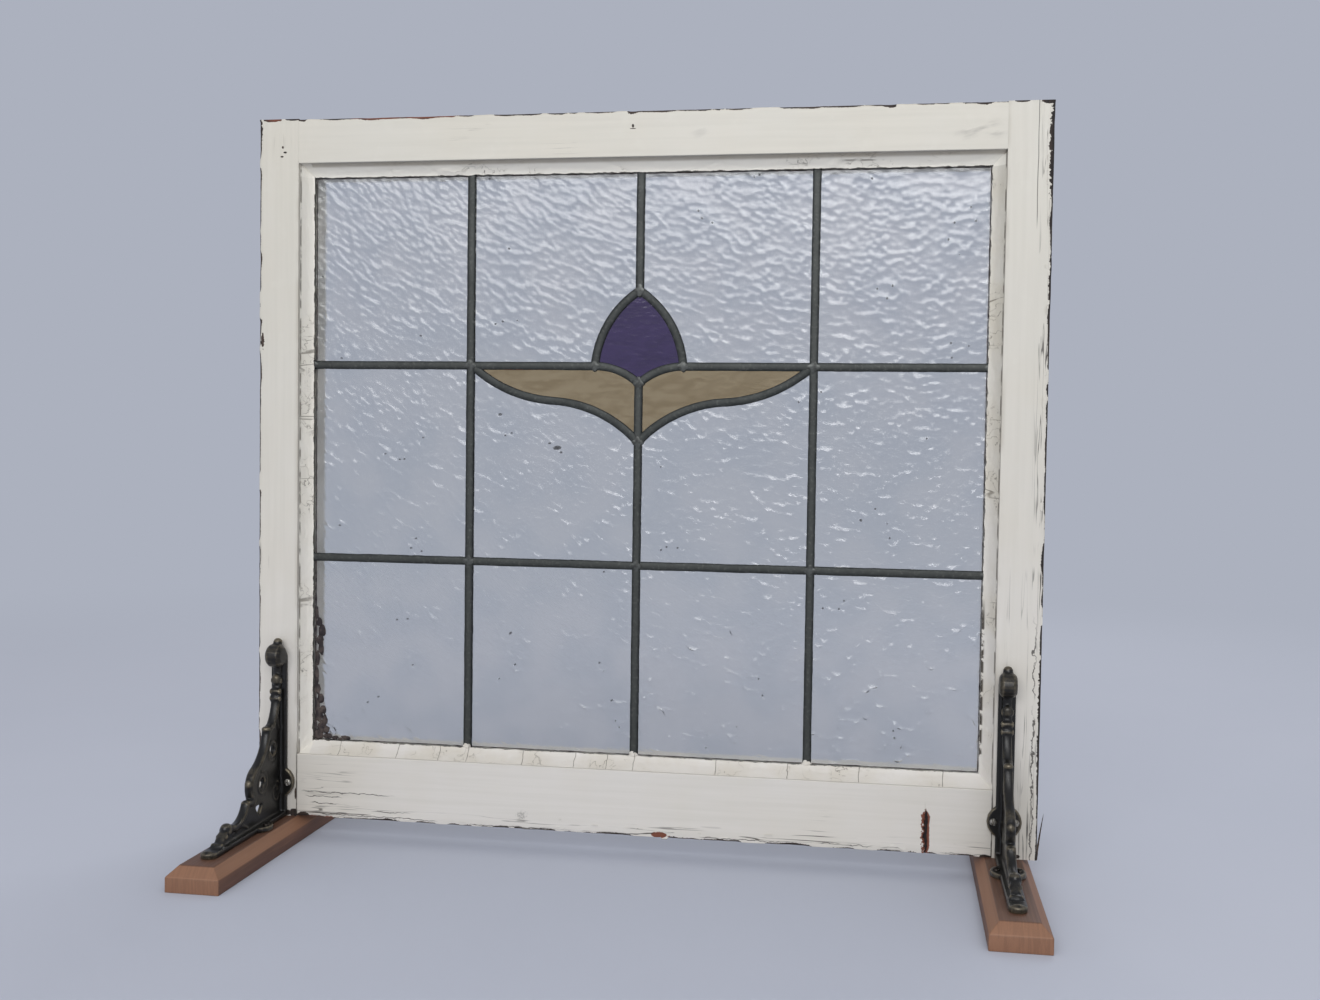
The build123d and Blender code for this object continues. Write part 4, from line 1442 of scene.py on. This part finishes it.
def oxidised_lead():
    """Grey lead, duller in the hollows, scuffed bright on its crown."""
    lead = settings("lead")
    f = Finish("oxidised_lead")
    patch, scuff = f.cloud(60.0, 4.0), f.cloud(420.0)
    crown = f.y.fade(LEAD_FRONT, LEAD_FRONT + 0.3 * MM)
    rust = f.mark(-88, 369.3, 36, 2.2, 0.5) * f.cloud(200.0, 2.0).ease(0.4, 0.6)
    colour = f.layered(
        lead.lead,
        (patch.ease(0.35, 0.7) * 0.6, shade(40, 43, 42)),
        ((scuff.ease(0.5, 0.75) * 0.3 + crown * 0.16).least(1.0), lead.dust),
        (f.y.ease(GLASS_FRONT - 0.7 * MM, GLASS_FRONT - 0.3 * MM) * 0.7, shade(26, 26, 25)),
        (rust * 0.55, shade(132, 74, 58)),
    )
    rough = 0.5 + (scuff - 0.5) * 0.3 + (patch - 0.5) * 0.2
    height = scuff * 0.06 * MM + f.cloud(1500.0, 2.0) * 0.015 * MM
    return f.surface(colour, rough, height, Metallic=0.55)


def tinned_solder():
    """Solder, smoother and a little brighter than the lead."""
    f = Finish("tinned_solder")
    patch = f.cloud(320.0)
    colour = f.layered(settings("lead").solder, (patch.ease(0.35, 0.7), shade(58, 59, 57)))
    return f.surface(colour, 0.42 + (patch - 0.5) * 0.3, patch * 0.1 * MM, Metallic=0.6)


def clear_glass():
    """Clear hammered glass: drawn-out pebbles that slant on the left, and specks of dirt."""
    glass = settings("glass")
    f = Finish("clear_glass")
    sheet = f.plane(f.x, f.z)
    slant = f.z + 0.28 * f.x - 0.5 * f.x * f.x
    wander = f.flat_cloud(60.0, 2.0, sheet) * 0.55
    pebbles = f.plane(f.x / glass.pebble + wander, slant / (glass.pebble * 0.82) + wander)
    dome, chance = f.cells(1.0, pebbles, "SMOOTH_F1")
    uneven = f.flat_cloud(48.0, 1.0, sheet).ease(0.3, 0.72)
    low_right = f.z.fade(0.14, 0.44) * f.x.ease(-0.16, 0.12)
    steeper = 0.95 + 0.85 * low_right * chance.ease(0.38, 0.6)
    roll = f.flat_cloud(24.0, 1.0, sheet)
    height = dome * dome * glass.ripple * steeper * (0.35 + 0.65 * uneven) + roll * 0.6 * MM
    speck = f.cells(80.0, sheet)[0].fade(0.04, 0.07) * roll.ease(0.69, 0.73)
    large_specks = (
        (-63, 311.5, 3.4, 1.6), (-69.0, 314.8, 1.0, 0.8), (-108.4, 336.7, 1.3, 1.0),
        (-98.6, 167.3, 0.9, 1.0), (-59.8, 308.0, 1.1, 0.8), (168.8, 261.0, 1.0, 1.0),
    )
    speck = speck.most(f.marks(*((*spot, 1.4) for spot in large_specks)))
    colour = f.layered(
        glass.clear,
        (roll.ease(0.3, 0.7), shade(232, 234, 234)),
        (speck * 0.85, shade(40, 38, 38)),
    )
    return f.surface(colour, 0.2 + speck * 0.4, height, IOR=1.5, Transmission_Weight=1.0)


def streaky_glass(name, body, streak):
    """Coloured glass with drawn-out streaks."""
    f = Finish(name)
    sheet = f.plane(f.x, f.z * 2.6)
    wander = f.flat_cloud(30.0, 2.0, sheet)
    bands = f.flat_cloud(1.0, 3.0, f.plane(f.x * 34 + wander * 2, f.z * 110 + wander * 3))
    ripple = f.flat_cloud(120.0, 1.0, sheet)
    colour = f.layered(body, (bands.ease(0.3, 0.74) * 0.7, streak))
    rough = 0.14 + (bands - 0.5) * 0.12
    return f.surface(colour, rough, ripple * 0.13 * MM, IOR=1.5, Transmission_Weight=1.0)


def foot_timber():
    """Stained softwood with narrow rings seen at the ends."""
    stand = settings("stand")
    f = Finish("foot_timber")
    ring = f.cloud(1.0, 2.0, f.nudged(f.stretched(620, 5, 60), 0.6, 0.7))
    fibre = f.cloud(1.0, 3.0, f.stretched(1500, 30, 1500))
    end = abs(f.y).ease(0.1604, 0.1608)
    slope = f.z.ease(0.0105, 0.0112) * f.z.fade(0.0172, 0.0178)
    colour = f.layered(
        stand.foot,
        (ring.ease(0.38, 0.62) * 0.75, stand.foot_dark),
        (fibre.ease(0.45, 0.8) * 0.3, shade(160, 120, 92)),
        (f.cloud(14.0).ease(0.4, 0.7) * 0.4, shade(98, 66, 50)),
        (f.z.ease(0.0172, 0.0179) * 0.55, shade(92, 66, 52)),
        ((end * 0.4 + slope * 0.5).least(1.0), shade(168, 124, 94)),
    )
    return f.surface(
        colour, 0.55 + (fibre - 0.5) * 0.2, ring * 0.05 * MM + fibre * 0.05 * MM
    )


def black_casting():
    """Blackened iron, rubbed on its high places, which are also painted lighter as a highlight."""
    stand = settings("stand")
    f = Finish("black_casting")
    grainy, patch = f.cloud(700.0), f.cloud(90.0, 4.0)
    # Rubbed metal on the proud places, partly a painted highlight: lighter and more metallic where
    # the casting stands out
    rubbed_and_sheen = (f.stored("proud") + patch * 0.5 + grainy * 0.25 - 0.35).ease(0.15, 0.6)
    colour = f.layered(
        stand.iron,
        (rubbed_and_sheen * 0.8, stand.rubbed_and_sheen),
        (f.cloud(35.0).ease(0.55, 0.75) * 0.14, shade(60, 52, 44)),
    )
    height = grainy * 0.09 * MM + patch * 0.1 * MM
    return f.surface(colour, 0.34 + (patch - 0.5) * 0.25, height, Metallic=rubbed_and_sheen * 0.6 + 0.25)


def screw_metal(name, tone):
    """Screw heads, dull in the slot."""
    f = Finish(name)
    scratch = f.cloud(1.0, 3.0, f.stretched(2400, 2400, 700, 30))
    colour = f.layered(tone, (f.cloud(500.0).ease(0.45, 0.7) * 0.6, shade(70, 64, 56)))
    return f.surface(colour, 0.36 + (scratch - 0.5) * 0.2, scratch * 0.03 * MM, Metallic=0.85)


def torn_wood():
    """Grey weathered wood of the splinter."""
    f = Finish("torn_wood")
    fibre = f.cloud(1.0, 4.0, f.stretched(1800, 1800, 60))
    colour = f.layered(shade(40, 34, 31), (fibre.ease(0.35, 0.7), shade(96, 80, 68)))
    return f.surface(colour, 0.85, fibre * 0.15 * MM)


# Operators


class WINDOW_OT_sash(Operator):
    """Build the stiles and rails with their worn paint"""

    bl_idname = "window_panel.sash"
    bl_label = "Sash"

    def execute(self, context):
        build_stiles(painted_timber("painted_stiles", True))
        build_rails(painted_timber("painted_rails", False))
        return {"FINISHED"}


class WINDOW_OT_putty(Operator):
    """Run the putty round the panel, with the old cement beside it"""

    bl_idname = "window_panel.putty"
    bl_label = "Putty"

    def execute(self, context):
        paint = painted_putty()
        build_putty(paint)
        build_paint_blobs(paint)
        build_cement(old_cement())
        return {"FINISHED"}


class WINDOW_OT_lead(Operator):
    """Lay the cames"""

    bl_idname = "window_panel.lead"
    bl_label = "Lead"

    def execute(self, context):
        build_lead(oxidised_lead())
        return {"FINISHED"}


class WINDOW_OT_solder(Operator):
    """Solder the cames where they meet"""

    bl_idname = "window_panel.solder"
    bl_label = "Solder"

    def execute(self, context):
        build_solder(tinned_solder())
        return {"FINISHED"}


class WINDOW_OT_glass(Operator):
    """Give the panes their clear, violet and amber glass"""

    bl_idname = "window_panel.glass"
    bl_label = "Glass"

    def execute(self, context):
        glass = settings("glass")
        clear = clear_glass()
        violet = streaky_glass("violet_glass", glass.violet, shade(74, 60, 98))
        amber = streaky_glass("amber_glass", glass.amber, shade(168, 144, 104))
        for name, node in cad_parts.items():
            if not name.endswith(("_pane", "_glass")):
                continue
            kind = amber if "leaf_glass" in name else clear
            node.data.materials.clear()
            node.data.materials.append(violet if name == "tulip_glass" else kind)
        return {"FINISHED"}


class WINDOW_OT_feet(Operator):
    """Shape the two wooden feet"""

    bl_idname = "window_panel.feet"
    bl_label = "Feet"

    def execute(self, context):
        build_feet(foot_timber())
        return {"FINISHED"}


class WINDOW_OT_brackets(Operator):
    """Cast the four brackets"""

    bl_idname = "window_panel.brackets"
    bl_label = "Brackets"

    def execute(self, context):
        build_brackets(black_casting())
        return {"FINISHED"}


class WINDOW_OT_screws(Operator):
    """Drive the screws through the brackets' lugs"""

    bl_idname = "window_panel.screws"
    bl_label = "Screws"

    def execute(self, context):
        bright = screw_metal("bright_screws", settings("stand").screw)
        build_screws(bright, screw_metal("dark_screws", shade(52, 48, 44)))
        return {"FINISHED"}


class WINDOW_OT_flakes(Operator):
    """Add the loose flakes of paint and the torn splinter"""

    bl_idname = "window_panel.flakes"
    bl_label = "Flakes and splinter"

    def execute(self, context):
        build_flakes(bpy.data.materials["painted_rails"])
        build_splinter(torn_wood())
        return {"FINISHED"}


class WINDOW_OT_stage(Operator):
    """Set the floor, the light and the camera"""

    bl_idname = "window_panel.stage"
    bl_label = "Stage"

    def execute(self, context):
        lay_floor()
        light_world()
        hang_lights()
        aim_camera()
        return {"FINISHED"}


class WINDOW_PT_panel(Panel):
    """Sidebar panel with every step and setting"""

    bl_idname = "WINDOW_PT_panel"
    bl_label = "Leaded window"
    bl_space_type = "VIEW_3D"
    bl_region_type = "UI"
    bl_category = "Window"

    def draw(self, context):
        for step in STEPS:
            self.layout.operator(step.bl_idname)
        for name, group in GROUPS.items():
            box = self.layout.box()
            box.label(text=name.capitalize())
            for key in group.__annotations__:
                box.prop(settings(name), key)


# Stage


def lay_floor():
    """A wide pale floor that runs into the backdrop without a line."""
    stage = settings("stage")
    f = Finish("pale_floor")
    colour = f.layered(stage.floor, (f.cloud(3.0).ease(0.3, 0.7) * 0.25, shade(204, 208, 220)))
    material = f.surface(colour, 0.9, Specular_IOR_Level=0.1)
    near = f.end.inputs["Surface"].links[0].from_socket
    far = f.node("Emission", None, {"Color": opaque(stage.sky), "Strength": 1.0})
    away = (f.x * f.x + f.y * f.y) ** 0.5
    share = away.ease(0.6, 2.2) * f.seen()
    f.close(f.node("MixShader", None, {0: share, 1: near, 2: far.outputs[0]}))
    half = 9.0
    corners = [(-half, -half, 0), (half, -half, 0), (half, half, 0), (-half, half, 0)]
    mesh = bpy.data.meshes.new("floor")
    mesh.from_pydata(corners, [], [(0, 1, 2, 3)])
    mesh.materials.append(material)
    floor = bpy.data.objects.new("floor", mesh)
    bpy.context.scene.collection.objects.link(floor)


def light_world():
    """Even light all round, and a pale backdrop behind the window."""
    stage = settings("stage")
    world = bpy.data.worlds.new("studio")
    studio = Nodes(world, "OutputWorld")
    even, pale = (
        studio.node("Background", None, {"Color": opaque(tone), "Strength": strength})
        for tone, strength in ((shade(250, 250, 255), stage.ambient), (stage.sky, 1.0))
    )
    both = {0: studio.seen(), 1: even.outputs[0], 2: pale.outputs[0]}
    studio.close(studio.node("MixShader", None, both))
    bpy.context.scene.world = world


def soft_light(name, place, target, power, size):
    """A rectangular soft light aimed at a point."""
    data = bpy.data.lights.new(name, "AREA")
    data.energy = power
    data.shape = "RECTANGLE"
    data.size, data.size_y = size
    lamp = bpy.data.objects.new(name, data)
    lamp.location = place
    lamp.rotation_mode = "QUATERNION"
    lamp.rotation_quaternion = (Vector(target) - Vector(place)).to_track_quat("-Z", "Y")
    bpy.context.scene.collection.objects.link(lamp)


def hang_lights():
    """A high soft light, a wide one in front whose glints show in the glass, one behind."""
    stage = settings("stage")
    middle = (0.0, 0.0, 0.3)
    soft_light("main_light", (0.65, -1.9, 1.6), middle, stage.key, (1.6, 1.1))
    soft_light("window_light", (-0.25, -3.1, 1.6), middle, stage.window, (2.6, 1.1))
    soft_light("back_light", (0.4, 2.0, 1.8), middle, stage.key * 1.5, (1.6, 1.0))


def aim_camera():
    """Camera where the photographer stood."""
    yaw, pitch, roll = (math.radians(angle) for angle in CAMERA_TURN)
    forward = Vector(
        (math.sin(yaw) * math.cos(pitch), math.cos(yaw) * math.cos(pitch), math.sin(pitch))
    )
    right = Vector((math.cos(yaw), -math.sin(yaw), 0))
    up = right.cross(forward)
    side = right * math.cos(roll) + up * math.sin(roll)
    top = up * math.cos(roll) - right * math.sin(roll)
    data = bpy.data.cameras.new("camera")
    data.sensor_width = 36.0
    data.lens = CAMERA_LENS
    camera = bpy.data.objects.new("camera", data)
    turn = Matrix((side, top, -forward)).transposed().to_4x4()
    camera.matrix_world = Matrix.Translation(CAMERA_PLACE) @ turn
    bpy.context.scene.collection.objects.link(camera)
    bpy.context.scene.camera = camera
    bpy.context.scene.view_settings.view_transform = "Standard"


STEPS = (
    WINDOW_OT_sash, WINDOW_OT_putty, WINDOW_OT_lead, WINDOW_OT_solder, WINDOW_OT_glass,
    WINDOW_OT_feet, WINDOW_OT_brackets, WINDOW_OT_screws, WINDOW_OT_flakes, WINDOW_OT_stage,
)
GROUPS = {
    "sash": SashSettings,
    "lead": LeadSettings,
    "glass": GlassSettings,
    "stand": StandSettings,
    "stage": StageSettings,
}


def register():
    for group in GROUPS.values():
        bpy.utils.register_class(group)
    for name, group in GROUPS.items():
        setattr(bpy.types.Scene, "window_" + name, PointerProperty(type=group))
    for step in STEPS:
        bpy.utils.register_class(step)
    bpy.utils.register_class(WINDOW_PT_panel)


def unregister():
    bpy.utils.unregister_class(WINDOW_PT_panel)
    for step in reversed(STEPS):
        bpy.utils.unregister_class(step)
    for name, group in reversed(list(GROUPS.items())):
        delattr(bpy.types.Scene, "window_" + name)
        bpy.utils.unregister_class(group)


def main():
    register()
    for step in STEPS:
        group, name = step.bl_idname.split(".")
        getattr(getattr(bpy.ops, group), name)()


if __name__ == "__main__":
    main()
